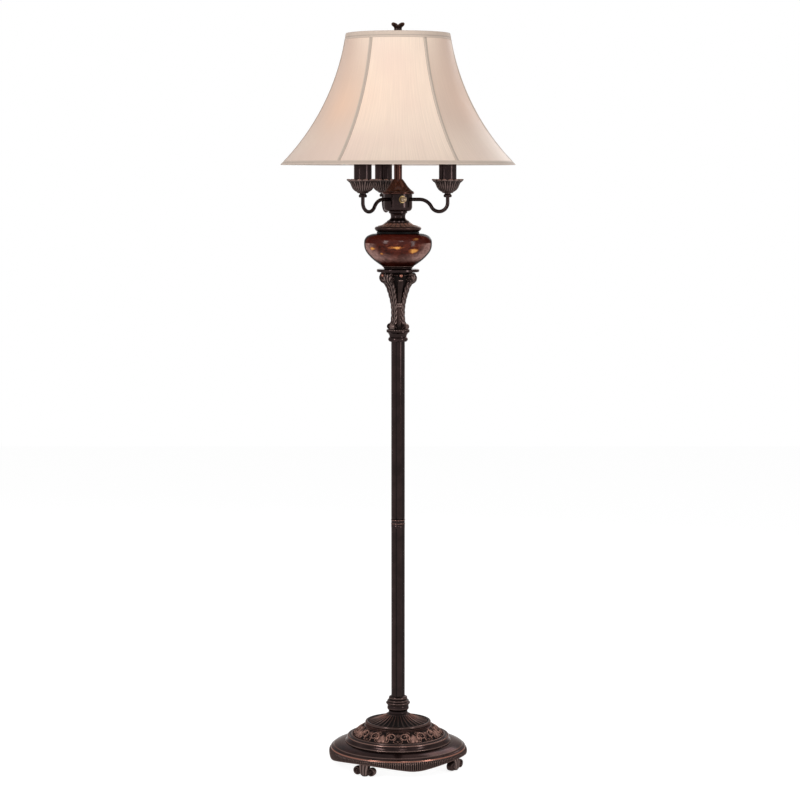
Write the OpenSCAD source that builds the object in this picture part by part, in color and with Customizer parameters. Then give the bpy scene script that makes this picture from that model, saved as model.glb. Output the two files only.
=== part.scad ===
// Candlestick floor lamp: three candle lights on curled arms and one centre light,
// under a six-panel bell shade, on a slim pole with a glass font and a footed base.
// Units are millimetres, +Z is up, and the origin is on the floor under the pole.
// An azimuth is measured about Z from the front (-Y) toward the right (+X).
// Outlines are radius and height pairs. Most are given as shares of a piece's own
// widest radius and its own height, so that they follow those two sizes.

/* [Feet] */
// Number of scroll feet round the base
foot_count = 4; // [3:1:6]
// Azimuth of the first foot
first_foot = -30; // [-45:1:0]
// Width of a foot across its two scrolls
foot_w = 54; // [50:1:60]
// Height of a foot above its pad
foot_h = 28.5; // [27:0.5:31]
// Thickness of a foot from its inner to its outer face
foot_t = 15; // [13:0.5:17]
// Distance from the widest part of the apron in to a foot's outer face
foot_inset = 2; // [1:0.5:4]
// Diameter of the scrolls of a foot
scroll_d = 20; // [17:0.5:21]
// Width of a foot's middle leg at the floor
leg_w = 24; // [20:1:28]
// Diameter of the felt pad under a foot
pad_d = 13; // [10:0.5:14]
// Thickness of the felt pads
pad_t = 1.5; // [1:0.25:3]
// Diameter of the round post that stands on top of a foot
post_d = 16; // [13:0.5:17]
// Height of a foot's post
post_h = 14; // [12:0.5:15]
// Thread diameter of the foot screws
foot_screw_d = 5; // [4:0.5:6]
// How far a foot screw reaches into the base plate
foot_screw_grip = 7; // [5:0.5:8]

/* [Base plate] */
// Widest diameter of the base, round the apron
plate_d = 306; // [296:1:320]
// Depth of the plate from its flat top to the apron's lowest edge
plate_depth = 35; // [33:0.5:37]
// Height of the plate's flat top above the feet
plate_rise = 19; // [18:0.5:22]
// Wall of the cast plate
plate_wall = 4; // [3:0.5:5]
// How far the scallops over the feet rise above the apron's lowest edge
scallop_rise = 11; // [9:0.5:12]
// Radius of the scallops' curve
scallop_r = 460; // [400:10:600]
// Height of the cord outlet above the apron's lowest edge
outlet_rise = 8; // [7:0.5:9]
// Bore of the cord outlet
outlet_bore = 6.4; // [5.5:0.1:7]
// Wall of the cord outlet bushing
outlet_wall = 1.4; // [1.2:0.1:2]

/* [Base weight] */
// Thickness of the iron weight inside the base
weight_h = 14; // [10:1:16]
// Thickness of the bottom cover
cover_t = 1.5; // [1:0.25:2]
// Height of the nuts on the threaded pipes
nut_h = 5; // [4:0.5:5.5]
// Width of those nuts across their corners
nut_w = 17; // [15:0.5:19]

/* [Stepped base] */
// Diameter of the ogee ring where it stands on the plate
ogee_d = 234; // [226:1:240]
// Height of the ogee ring
ogee_h = 12; // [10:0.5:15]
// Diameter of the leaf-carved dome at its foot
dome_d = 198; // [190:1:204]
// Diameter of the dome's flat top
dome_top_d = 146; // [144:1:152]
// Height of the dome
dome_h = 26; // [24:0.5:30]
// Wall of the dome
dome_wall = 4; // [3:0.5:5]
// Diameter of the fluted disc
disc_d = 144; // [136:1:148]
// Height of the fluted disc
disc_h = 23.5; // [20:0.5:28]
// Diameter of the fluted disc's neck
disc_neck_d = 44; // [38:1:48]
// Widest diameter of the turned collar at the foot of the pole
foot_collar_d = 54.4; // [50:0.2:60]
// Height of the turned collar at the foot of the pole
foot_collar_h = 38.5; // [34:0.5:44]

/* [Pole] */
// Outer diameter of the pole
pole_d = 30; // [28:0.5:32]
// Wall of the pole tubes
pole_wall = 1.5; // [1.2:0.1:2.5]
// Length of the lower pole tube
lower_pole_len = 393.5; // [300:0.5:450]
// Length of the upper pole tube
upper_pole_len = 401.5; // [300:0.5:450]
// Depth of the sockets that hold the pole's ends
pole_socket = 9; // [7:0.5:10]
// Height of the ring that shows at the middle joint
joint_ring_h = 9; // [6:0.5:12]
// How far the middle joint's ring stands out from the pole
joint_ring_step = 0.6; // [0.2:0.1:1.5]
// Length of the joint's spigot inside each tube
spigot_len = 25; // [18:1:35]
// Height of the threaded inserts in the pole's ends
insert_h = 14; // [10:1:20]
// Widest diameter of the collar on top of the pole
top_collar_d = 50.4; // [46:0.2:54]
// Height of the collar on top of the pole
top_collar_h = 23.5; // [21:0.5:27]

/* [Capital] */
// Width of the capital across its volutes
capital_d = 84.8; // [78:0.4:90]
// Height of the capital
capital_h = 128; // [110:1:140]
// Thickness of the capital's leaf brackets
bracket_t = 13; // [9:0.5:16]
// Azimuth of the capital's first bracket
first_bracket = -30; // [-45:1:45]
// Diameter of the disc on top of the capital
abacus_d = 92.6; // [84:0.2:98]
// Thickness of the disc on top of the capital
abacus_h = 6.5; // [5:0.5:9]

/* [Glass font] */
// Widest diameter of the glass font
font_d = 148; // [138:1:156]
// Height of the glass font
font_h = 74; // [66:1:82]
// Wall of the glass
font_wall = 3; // [2.5:0.25:3.5]
// Diameter of the seat cup at its rim
seat_d = 82; // [76:1:88]
// Height of the seat cup
seat_h = 10; // [8:0.5:12]
// Thickness of the seat cup
seat_wall = 2.5; // [2:0.25:3]
// Thickness of the gasket under the glass
gasket_t = 1; // [0.5:0.25:2]
// Diameter of the dark ring on top of the glass
top_ring_d = 92.4; // [90:0.4:98]
// Thickness of the dark ring on top of the glass
top_ring_h = 3.5; // [3:0.25:5]
// Widest diameter of the font's metal cap
font_cap_d = 98.8; // [94:0.4:104]
// Height of the font's metal cap
font_cap_h = 21; // [18:0.5:26]
// Height of the waisted neck over the font
neck_h = 23; // [20:0.5:28]
// Diameter of the neck where it stands on the cap
neck_d = 49; // [46:0.5:50]
// Outer diameter of the spacer tube inside the glass
spacer_d = 16; // [14:0.5:18]

/* [Light cluster] */
// Diameter of the cluster body
cluster_d = 62; // [58:0.5:66]
// Height of the cluster body
cluster_h = 37; // [35:0.5:42]
// Wall of the cluster body
cluster_wall = 2.5; // [2:0.25:3]
// Diameter of the bell cap's lip
bell_d = 71; // [69:0.5:78]
// Height of the bell cap
bell_h = 33; // [28:0.5:40]
// Wall of the bell cap
bell_wall = 2; // [1.5:0.25:2.5]
// Azimuth of the first of the three arms
first_arm = 77; // [70:1:85]
// Height of the arms above the foot of the cluster body
arm_rise = 26; // [24:0.5:27]
// Outer diameter of an arm's tube
arm_d = 8; // [7:0.25:9]
// Wall of an arm's tube
arm_wall = 1.2; // [1:0.1:1.5]
// Distance from the axis to the middle of a candle
arm_reach = 110; // [105:1:115]
// Distance from the axis to where an arm starts to bend
arm_bend = 48; // [44:1:52]
// Radius of the curl that turns an arm upward
arm_curl = 19; // [17:0.5:21]
// How far an arm dips below its level stretch
arm_dip = 26; // [24:0.5:28]

/* [Candles] */
// Height of an arm's collar above the arm's level stretch
collar_rise = 4.7; // [4:0.1:6]
// Diameter of the collar on an arm's end
collar_d = 18; // [15:0.5:19]
// Height of the collar on an arm's end
collar_h = 8.8; // [7:0.2:11]
// Diameter of a candle cup at its lip
cup_d = 68; // [64:1:74]
// Height of a candle cup
cup_h = 24; // [22:0.5:28]
// Wall of a candle cup
cup_wall = 2; // [1.5:0.25:2.5]
// Outer diameter of a candle sleeve
sleeve_d = 38; // [35:0.5:38.5]
// Wall of a candle sleeve
sleeve_wall = 1.5; // [1:0.1:2]
// Length of a candle sleeve
sleeve_len = 100; // [85:1:110]

/* [Sockets and bulbs] */
// Inner diameter of a bulb socket
socket_bore = 27.4; // [26.8:0.1:28]
// Depth of a bulb socket
socket_depth = 32; // [28:1:36]
// Wall of a bulb socket
socket_wall = 1.6; // [1.2:0.1:2]
// Diameter of a bulb's screw base
bulb_base_d = 26; // [25.5:0.1:26.4]
// Length of a bulb's screw base
bulb_base_h = 26; // [24:0.5:28]
// Diameter of a bulb's globe
bulb_d = 60; // [50:1:64]
// Overall length of a bulb
bulb_len = 110; // [100:1:118]
// Wall of a bulb's glass
bulb_wall = 1.2; // [0.8:0.1:1.6]
// Length of the tube that carries the centre socket
riser_len = 87; // [60:1:95]
// Outer diameter of that tube
riser_d = 17.5; // [15:0.5:22]
// Diameter of the centre socket's metal shell
shell_d = 34; // [33.5:0.5:37]
// Thickness of that shell
shell_wall = 0.8; // [0.6:0.1:1.2]
// Height of the centre socket's cap
socket_cap_h = 20; // [18:0.5:24]

/* [Switch] */
// Azimuth of the switch
switch_azimuth = 17; // [12:1:22]
// Diameter of the switch's body inside the cluster
switch_d = 18; // [15:0.5:20]
// Diameter of the switch's threaded neck
switch_neck_d = 10; // [9:0.25:11]
// Diameter of the ring nut that holds the switch
switch_nut_d = 15; // [13.5:0.25:17]
// Thickness of the ring nut
switch_nut_t = 3; // [2:0.25:4]
// Diameter of the switch knob
knob_d = 12; // [10:0.5:14]
// Length of the switch knob
knob_len = 10; // [8:0.5:13]
// Diameter of the knob's shaft
shaft_d = 5; // [4:0.25:6]

/* [Harp and finial] */
// Thickness of the harp's wire
harp_wire = 4; // [3.5:0.1:4.5]
// Distance between the harp's two feet
harp_foot_w = 52; // [50:0.5:56]
// Widest distance between the harp's wires
harp_w = 96; // [90:1:110]
// Height of the harp from its saddle to its top
harp_h = 207; // [200:1:225]
// Thickness of the harp's saddle
saddle_t = 2; // [1.5:0.25:3]
// Width of the harp's saddle
saddle_w = 15; // [13:0.5:18]
// Height of the posts that the harp's feet meet
post_len = 12; // [10:0.5:14]
// Length of the ferrules that lock the harp
ferrule_len = 14; // [12.5:0.25:16]
// Outer diameter of the ferrules
ferrule_d = 7; // [6:0.25:8]
// Diameter of the threaded stud on top of the harp
stud_d = 6.3; // [5.5:0.1:7]
// Length of that stud above its disc
stud_len = 16; // [12:0.5:18]
// Diameter of the disc under the stud
stud_disc_d = 16; // [12:0.5:20]
// Thickness of that disc
stud_disc_t = 3; // [2:0.25:4]
// Height of the finial
finial_h = 34.8; // [31:0.2:42]
// Diameter of the finial across its petals
finial_d = 31; // [26:0.5:36]
// Diameter of the finial's bulb
finial_bulb_d = 22; // [19:0.5:26]

/* [Shade] */
// Diameter of the shade at its top
shade_top_d = 226; // [210:1:250]
// Diameter of the shade at its hem
shade_bottom_d = 510; // [480:1:540]
// Height of the shade
shade_h = 281; // [270:1:290]
// Radius of the bell curve of the shade's ribs
shade_curve = 506; // [470:1:560]
// Height of the shade's top edge above the hub that the finial clamps
hub_drop = 12; // [8:0.5:15]
// Thickness of the shade's lined fabric
fabric_t = 1; // [0.8:0.1:1.5]
// Thickness of the tape over its seams and edges
tape_t = 0.8; // [0.6:0.1:1.2]
// How much flatter than round a panel is at mid height, as a share
panel_flatness = 0.55; // [0.3:0.05:0.8]
// Thickness of the frame's rib wires
rib_wire = 2.6; // [2.2:0.1:3.2]
// Thickness of the frame's ring wires
ring_wire = 3.2; // [2.8:0.1:4]
// Diameter of the shade's hub
hub_d = 22; // [20:0.5:26]
// Thickness of the shade's hub
hub_t = 2; // [1.5:0.25:3]
// Width of the tape over the ribs
rib_tape_w = 10; // [8:0.5:13]
// Height of the band round the top edge
top_band_h = 14; // [11:0.5:17]
// Height of the band round the hem
hem_band_h = 8; // [6:0.5:11]

/* [Threaded pipes and fits] */
// Outer diameter of the threaded pipes
pipe_d = 10; // [9.5:0.1:10.5]
// Bore of the threaded pipes
pipe_bore = 7; // [6.5:0.1:7.4]
// Gap round a fixed piece in its hole
slip = 0.1; // [0.08:0.01:0.15]
// Gap round a piece that turns or slides
run_gap = 0.05; // [0.03:0.01:0.08]
// Gap between faces that move past each other
face_gap = 0.2; // [0.15:0.05:0.3]

/* [Hidden] */
$fn = 72;
ARMS = [0, 1, 2];
arm_step = 360 / len(ARMS);

// Colours
bronze = [0.20, 0.14, 0.13];
copper_bronze = [0.33, 0.19, 0.15];
brass = [0.66, 0.50, 0.27];
steel = [0.62, 0.63, 0.65];
iron = [0.26, 0.26, 0.27];
felt = [0.11, 0.10, 0.10];
tortoise = [0.36, 0.13, 0.06];
porcelain = [0.93, 0.91, 0.86];
bulb_white = [1.0, 0.95, 0.82];
silk = [0.93, 0.83, 0.72];
braid = [0.72, 0.61, 0.50];

// Radii
plate_r = plate_d / 2;
ogee_r = ogee_d / 2;
pole_r = pole_d / 2;
pipe_hole = pipe_d / 2 + slip;

// Levels of the base, from the floor up
feet_top = pad_t + foot_h;
plate_top = feet_top + plate_rise;
apron_bottom = plate_top - plate_depth;
scallop_top = apron_bottom + scallop_rise;
weight_top = plate_top - plate_wall;
weight_bottom = weight_top - weight_h;
cover_top = weight_bottom - nut_h;
cover_bottom = cover_top - cover_t;
base_pipe_bottom = cover_bottom - nut_h - 1;
dome_bottom = plate_top + ogee_h;
disc_bottom = dome_bottom + dome_h;
foot_collar_bottom = disc_bottom + disc_h;
foot_collar_top = foot_collar_bottom + foot_collar_h;

// Levels of the pole and the capital
lower_pole_bottom = foot_collar_top - pole_socket;
joint_bottom = lower_pole_bottom + lower_pole_len;
upper_pole_bottom = joint_bottom + joint_ring_h;
upper_pole_top = upper_pole_bottom + upper_pole_len;
top_collar_bottom = upper_pole_top - pole_socket;
capital_bottom = top_collar_bottom + top_collar_h;
abacus_bottom = capital_bottom + capital_h;

// Levels of the glass font
seat_bottom = abacus_bottom + abacus_h;
seat_floor = seat_bottom + seat_wall;
glass_bottom = seat_floor + gasket_t;
glass_top = glass_bottom + font_h;
font_cap_bottom = glass_top + top_ring_h;
font_cap_recess = 0.38 * font_cap_h;
neck_bottom = font_cap_bottom + font_cap_h;

// Thickness of the floor of a bulb socket
socket_floor_t = 6;

// Levels of the cluster, the riser and the centre socket
cluster_bottom = neck_bottom + neck_h;
cluster_top = cluster_bottom + cluster_h;
arm_z = cluster_bottom + arm_rise;
riser_bottom = cluster_top + bell_h;
saddle_bottom = riser_bottom + riser_len;
saddle_top = saddle_bottom + saddle_t;
shell_bottom = saddle_top + socket_cap_h;
centre_bulb_z = shell_bottom + socket_floor_t;
stem_pipe_top = saddle_top + 0.7 * socket_cap_h;

// The feet and their posts
foot_r = plate_r - foot_inset - foot_t / 2;
post_clear = 6;
post_r = plate_r - plate_wall - post_clear - post_d / 2;
screw_head_h = 0.7 * foot_screw_d;
outlet_z = apron_bottom + outlet_rise;
outlet_azimuth = first_foot + 180 + 180 / foot_count;
outlet_flange_r = plate_r - plate_wall - 4;

// The arms' S-curve: two arcs that meet where both are tangent
arm_dip_r = arm_reach - arm_curl;
arm_run = arm_dip_r - arm_bend;
arm_shoulder = (arm_run * arm_run + arm_dip * arm_dip) / (2 * arm_dip) - arm_curl;
arm_slope = atan((arm_shoulder + arm_curl - arm_dip) / arm_run);
arm_bore = arm_d - 2 * arm_wall;
cluster_inner_r = cluster_d / 2 - cluster_wall;
arm_nut_t = 4;
arm_nut_w = 13;
arm_nut_r = cluster_inner_r - 1;
arm_inner_end = arm_nut_r - arm_nut_t - 1;

// The candles
cup_collar_z = arm_z + collar_rise;
cup_z = cup_collar_z + collar_h;
socket_hub_h = 0.4 * cup_h;
candle_flange_z = cup_z + cup_wall + socket_hub_h;
candle_flange_t = 2;
sleeve_z = candle_flange_z + candle_flange_t;
candle_bulb_z = sleeve_z + sleeve_len - socket_depth;
socket_outer_r = socket_bore / 2 + socket_wall;

// The switch
switch_front = cluster_inner_r - 1.7;
switch_len = 14;
knob_r = cluster_d / 2 + switch_nut_t + 2.5;
shaft_len = knob_r - switch_front + switch_len / 2;

// The harp
harp_joint_z = saddle_top + post_len;
harp_top = saddle_top + harp_h;
harp_straight_top = harp_joint_z + ferrule_len + 10;
harp_bend_z = harp_straight_top + harp_w / 2;
harp_arc_z = harp_top - harp_wire / 2 - harp_w / 2;
stud_disc_z = harp_top - 0.25 * harp_wire;
hub_bottom = stud_disc_z + stud_disc_t + face_gap;
hub_top = hub_bottom + hub_t;
finial_bottom = hub_top + face_gap;

// The shade's bell curve: an arc whose centre lies outside the shade
shade_top = hub_top + hub_drop;
shade_bottom = shade_top - shade_h;
shade_panels = 6;
first_rib = 30;
shade_taper = (shade_bottom_d - shade_top_d) / 2;
shade_chord = norm([shade_taper, shade_h]);
shade_sagitta_arm = sqrt(shade_curve * shade_curve - shade_chord * shade_chord / 4);
curve_r = (shade_bottom_d + shade_top_d) / 4 + shade_sagitta_arm * shade_h / shade_chord;
curve_z = (shade_top + shade_bottom) / 2 + shade_sagitta_arm * shade_taper / shade_chord;
seam_gap = 0.3;
fabric_depth = tape_t + seam_gap;
lining_depth = fabric_depth + fabric_t;
rib_depth = lining_depth + seam_gap / 2 + rib_wire / 2 / cos(180 / shade_panels);
hem_share = hem_band_h / shade_h;
top_share = 1 - top_band_h / shade_h;

// Places children on the given azimuth, with +X pointing outward
module on_azimuth(azimuth) {
    rotate([0, 0, azimuth - 90]) children();
}

// Repeats children evenly round the axis
module around(count, first) {
    for (i = [0:count - 1]) on_azimuth(first + i * 360 / count) children();
}

// Points from p to q on a curve that leaves and arrives pointing at the handle
function curve(p, handle, q, steps = 6) =
    [for (i = [0:steps]) let (t = i / steps)
        (1 - t) * (1 - t) * p + 2 * t * (1 - t) * handle + t * t * q];

// Points from p to q on a curve that bows outward by b when it is drawn upward
function bow(p, q, b, steps = 6) =
    let (side = [q[1] - p[1], p[0] - q[0]] / norm(q - p))
    curve(p, (p + q) / 2 + 2 * b * side, q, steps);

// Points of an arc about c from angle a to angle b
function arc(c, radius, a, b, steps = 8) =
    [for (i = [0:steps]) let (t = a + (b - a) * i / steps) c + radius * [cos(t), sin(t)]];

function scaled(points, r, h) = [for (p = points) [p[0] * r, p[1] * h]];
function shifted(points, dr, dh) = [for (p = points) p + [dr, dh]];
function backward(points) = [for (i = [len(points) - 1:-1:0]) points[i]];

// A turned piece with a bore right through
module turned(outline, bore_r) {
    last = outline[len(outline) - 1];
    rotate_extrude() polygon(concat([[bore_r, outline[0][1]]], outline, [[bore_r, last[1]]]));
}

// A turned piece with a bore and a wider socket in one end
module turned_socket(outline, bore_r, socket_r, depth, at_top) {
    difference() {
        turned(outline, bore_r);
        low = outline[0][1];
        high = outline[len(outline) - 1][1];
        translate([0, 0, at_top ? high - depth : low - 1]) cylinder(r = socket_r, h = depth + 1);
    }
}

module tube(outer_r, inner_r, h) {
    rotate_extrude() translate([inner_r, 0]) square([outer_r - inner_r, h]);
}

module hex_nut(width, bore_r, h) {
    difference() {
        cylinder(d = width, h = h, $fn = 6);
        translate([0, 0, -1]) cylinder(r = bore_r, h = h + 2);
    }
}

// Part of a ring in the upright plane through +X, from angle a through angle sweep
module upright_arc(centre_r, centre_z, a, sweep) {
    translate([centre_r, 0, centre_z]) rotate([90, 0, 0])
        rotate_extrude(angle = sweep, start = a) children();
}

// Feet and base

module foot_outline(leg_top) {
    waist = 0.38 * leg_w;
    polygon([
        [-leg_w / 2, 0], [leg_w / 2, 0], [waist, 0.8 * scroll_d],
        [waist, leg_top], [-waist, leg_top], [-waist, 0.8 * scroll_d],
    ]);
    for (side = [-1, 1])
        translate([side * (foot_w - scroll_d) / 2, scroll_d / 2]) circle(d = scroll_d);
}

module foot_pads() {
    color(felt) around(foot_count, first_foot) translate([foot_r, 0, 0])
        cylinder(d = pad_d, h = pad_t);
}

module scroll_feet() {
    leg_top = scallop_top - 1 - pad_t;
    color(bronze) around(foot_count, first_foot) difference() {
        union() {
            translate([foot_r - foot_t / 2, 0, pad_t]) rotate([90, 0, 90])
                linear_extrude(foot_t) foot_outline(leg_top);
            translate([post_r, 0, feet_top - post_h]) cylinder(d = post_d, h = post_h);
        }
        translate([post_r, 0, 0]) cylinder(d = foot_screw_d + 2 * slip, h = feet_top + 1);
        translate([post_r, 0, -1])
            cylinder(d = 2 * foot_screw_d, h = feet_top - post_h + 1);
    }
}

module foot_screws() {
    head_z = feet_top - post_h - screw_head_h;
    color(steel) around(foot_count, first_foot) translate([post_r, 0, head_z]) {
        cylinder(d = 1.8 * foot_screw_d, h = screw_head_h);
        cylinder(d = foot_screw_d, h = screw_head_h + post_h + foot_screw_grip);
    }
}

// Shares of the sloping rim's width and of the plate's depth, from its flat top down
function plate_outline() =
    [for (p = [[0, 0], [0.08, 0.03], [0.67, 0.26], [0.70, 0.30], [0.86, 0.36],
               [0.86, 0.42], [0.96, 0.54], [1, 0.70], [0.98, 0.86], [0.93, 1]])
        [ogee_r + p[0] * (plate_r - ogee_r), plate_top - p[1] * plate_depth]];

module plate_solid() {
    rim = plate_outline();
    rotate_extrude() polygon(concat([[0, apron_bottom], [0, plate_top]], rim));
}

module plate_shell() {
    rim = plate_outline();
    lining = [for (p = rim) [p[0] - plate_wall, max(p[1] - plate_wall, apron_bottom)]];
    rotate_extrude() polygon(concat(
        [[pipe_hole, weight_top], [pipe_hole, plate_top]], rim, backward(lining)));
}

module base_plate() {
    color(bronze) difference() {
        union() {
            plate_shell();
            intersection() {
                plate_solid();
                around(foot_count, first_foot) translate([post_r, 0, feet_top])
                    cylinder(d = post_d, h = plate_rise);
            }
        }
        around(foot_count, first_foot) {
            translate([0, 0, scallop_top - scallop_r]) rotate([0, 90, 0])
                cylinder(r = scallop_r, h = plate_r + 1);
            translate([post_r, 0, feet_top - 1])
                cylinder(d = foot_screw_d + 2 * slip, h = foot_screw_grip + 1 + slip);
        }
        on_azimuth(outlet_azimuth) translate([plate_r / 2, 0, outlet_z]) rotate([0, 90, 0])
            cylinder(r = outlet_bore / 2 + outlet_wall + slip, h = plate_r);
    }
}

module cord_outlet() {
    outer_r = outlet_bore / 2 + outlet_wall;
    color(felt) on_azimuth(outlet_azimuth) translate([outlet_flange_r, 0, outlet_z])
        rotate([0, 90, 0]) {
            tube(outer_r, outlet_bore / 2, plate_r + 2 - outlet_flange_r);
            tube(outer_r + 0.8, outlet_bore / 2, 1);
        }
}

module base_weight() {
    color(iron) translate([0, 0, weight_bottom])
        tube(ogee_r - plate_wall - 3, pipe_hole, weight_h);
}

module bottom_cover() {
    color(steel) translate([0, 0, cover_bottom])
        tube(post_r - post_d / 2 - 1.5, pipe_hole, cover_t);
}

module base_nuts() {
    color(brass) for (z = [cover_top, cover_bottom - nut_h])
        translate([0, 0, z]) hex_nut(nut_w, pipe_hole, nut_h);
}

module base_pipe() {
    color(steel) translate([0, 0, base_pipe_bottom])
        tube(pipe_d / 2, pipe_bore / 2, lower_pole_bottom + insert_h + 3 - base_pipe_bottom);
}

module ogee_ring() {
    inner_r = dome_d / 2 - dome_wall - 3;
    ledge_r = dome_d / 2 + 0.5;
    rim = ogee_r - ledge_r;
    color(bronze) translate([0, 0, plate_top]) rotate_extrude() polygon(concat(
        [[inner_r, 0]],
        bow([ogee_r, 0], [ledge_r + 0.64 * rim, 0.62 * ogee_h], -0.08 * rim),
        [[ledge_r + 0.64 * rim, 0.78 * ogee_h]],
        bow([ledge_r + 0.58 * rim, 0.80 * ogee_h], [ledge_r, ogee_h], -0.06 * rim),
        [[inner_r, ogee_h]]));
}

// The dome's outside, from its foot to the bead row under the fluted disc
function dome_outline(foot, top, h) = concat(
    [[foot, 0]],
    bow([foot, 0.10 * h], [top, 0.88 * h], 0.14 * h),
    bow([top - 2, 0.88 * h], [top - 2, h], 0.06 * h));

module leaf_dome() {
    foot = dome_d / 2;
    top = dome_top_d / 2;
    outside = dome_outline(foot, top, dome_h);
    inside = dome_outline(foot - dome_wall, top - dome_wall, dome_h - dome_wall);
    color(copper_bronze) translate([0, 0, dome_bottom]) rotate_extrude() polygon(concat(
        outside, [[pipe_hole, dome_h], [pipe_hole, dome_h - dome_wall]], backward(inside)));
}

module fluted_disc() {
    r = disc_d / 2;
    roll = 0.13 * disc_h;
    foot_z = disc_bottom;
    color(bronze) turned(shifted(concat(
        [[r - roll, 0]],
        arc([r - roll, roll], roll, -60, 110),
        bow([r - 1.6 * roll, 1.7 * roll], [disc_neck_d / 2, disc_h], -0.22 * disc_h)),
        0, foot_z), pipe_hole);
}

module foot_collar() {
    r = foot_collar_d / 2;
    h = foot_collar_h;
    outline = concat(
        bow([0.92 * r, 0], [0.93 * r, 0.42 * h], -0.13 * r),
        bow([0.96 * r, 0.44 * h], [0.96 * r, 0.64 * h], 0.04 * r),
        [[0.89 * r, 0.66 * h], [0.89 * r, 0.74 * h], [0.82 * r, 0.76 * h]],
        bow([0.82 * r, 0.80 * h], [pole_r + 1.4, h], 0.04 * r));
    color(bronze) turned_socket(shifted(outline, 0, foot_collar_bottom),
        pipe_hole, pole_r + slip, pole_socket, true);
}

// Pole

module pole_inserts() {
    outer_r = pole_r - pole_wall - slip;
    color(brass) for (z = [lower_pole_bottom + 2, upper_pole_top - insert_h - 2])
        translate([0, 0, z]) tube(outer_r, pipe_hole, insert_h);
}

module lower_pole() {
    color(bronze) translate([0, 0, lower_pole_bottom])
        tube(pole_r, pole_r - pole_wall, lower_pole_len);
}

module pole_joint() {
    spigot_r = pole_r - pole_wall - slip;
    ring_r = pole_r + joint_ring_step;
    color(bronze) translate([0, 0, joint_bottom]) rotate_extrude() polygon([
        [pipe_hole, -spigot_len], [spigot_r, -spigot_len], [spigot_r, 0], [ring_r, 0],
        [ring_r, joint_ring_h], [spigot_r, joint_ring_h],
        [spigot_r, joint_ring_h + spigot_len], [pipe_hole, joint_ring_h + spigot_len],
    ]);
}

module upper_pole() {
    color(bronze) translate([0, 0, upper_pole_bottom])
        tube(pole_r, pole_r - pole_wall, upper_pole_len);
}

module top_collar() {
    r = top_collar_d / 2;
    h = top_collar_h;
    waist = max(0.74 * r, pole_r + slip + 1.5);
    outline = concat(
        bow([waist, 0], [waist, 0.42 * h], 0.12 * r),
        [[waist, 0.50 * h]],
        bow([waist, 0.50 * h], [r, 0.88 * h], -0.05 * r),
        [[r, h]]);
    color(bronze) turned_socket(shifted(outline, 0, top_collar_bottom),
        pipe_hole, pole_r + slip, pole_socket, false);
}

// Capital

function capital_core_outline() = scaled(concat(
    [[0.57, 0], [0.57, 0.015]],
    bow([0.59, 0.02], [0.56, 0.09], 0.015),
    bow([0.47, 0.11], [0.28, 0.19], -0.01),
    bow([0.26, 0.20], [0.26, 0.39], 0.01),
    bow([0.31, 0.40], [0.31, 0.47], 0.02),
    bow([0.28, 0.48], [0.44, 0.76], -0.02),
    bow([0.44, 0.76], [0.60, 0.92], -0.03),
    [[0.66, 0.93], [0.66, 1]]), capital_d / 2, capital_h);

// One leaf bracket: a low scroll, a tapering shank and a volute under the disc
module bracket_outline() {
    r = capital_d / 2;
    h = capital_h;
    volute = 0.25 * r;
    scroll = 0.13 * r;
    polygon(concat(
        [[pipe_hole + 1, 0.12 * h]],
        bow([0.36 * r, 0.12 * h], [0.36 * r, 0.31 * h], -0.01 * r),
        bow([0.36 * r, 0.31 * h], [0.90 * r, 0.86 * h], -0.12 * r),
        [[0.75 * r, h], [pipe_hole + 1, h]]));
    translate([r - volute, h - volute]) circle(r = volute);
    translate([0.34 * r, 0.12 * h]) circle(r = scroll);
}

module capital() {
    r = capital_d / 2;
    color(bronze) translate([0, 0, capital_bottom]) {
        turned(capital_core_outline(), pipe_hole);
        around(4, first_bracket) translate([0, bracket_t / 2, 0]) rotate([90, 0, 0])
            linear_extrude(bracket_t) bracket_outline();
        around(4, first_bracket + 45) {
            translate([0.64 * r, 0, 0.98 * capital_h - 0.06 * r]) sphere(r = 0.07 * r);
            translate([0.54 * r, 0, 0.86 * capital_h]) sphere(r = 0.08 * r);
        }
    }
}

module capital_disc() {
    r = abacus_d / 2;
    edge = 0.3 * abacus_h;
    color(bronze) turned(shifted(concat(
        [[r - edge, 0]],
        arc([r - edge, edge], edge, -70, 0, 4),
        arc([r - edge, abacus_h - edge], edge, 0, 70, 4),
        [[r - edge, abacus_h]]), 0, abacus_bottom), pipe_hole);
}

// Glass font

module stem_pipe() {
    bottom = upper_pole_top - insert_h - 5;
    color(steel) translate([0, 0, bottom])
        tube(pipe_d / 2, pipe_bore / 2, stem_pipe_top - bottom);
}

// The seat cup's inner slope, on which the glass rests
seat_r = seat_d / 2;
seat_foot_r = seat_r - 1.2 * seat_h - seat_wall;
seat_rim = [seat_r - 1.5, seat_h + 0.3];

module font_seat() {
    color(bronze) translate([0, 0, seat_bottom]) rotate_extrude() polygon([
        [pipe_hole, 0], [seat_foot_r + 3, 0], [seat_r, seat_h], seat_rim,
        [seat_foot_r + 0.5, seat_wall], [pipe_hole, seat_wall],
    ]);
}

module font_gasket() {
    color(felt) translate([0, 0, seat_floor])
        tube(seat_foot_r - 0.5, spacer_d / 2 + 4, gasket_t);
}

// The glass outside: its slope in the seat cup, the belly, the shoulder and the rim
function glass_outline(r, h) =
    let (rest = [seat_rim[0] - 0.6, seat_rim[1] - seat_wall - gasket_t + 0.3])
    concat(
        [[seat_foot_r, 0]],
        curve(rest, [0.97 * r, 0.30 * h], [r, 0.66 * h], 8),
        curve([r, 0.70 * h], [0.97 * r, 0.905 * h], [0.70 * r, 0.98 * h], 8),
        [[0.62 * r, h]]);

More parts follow.
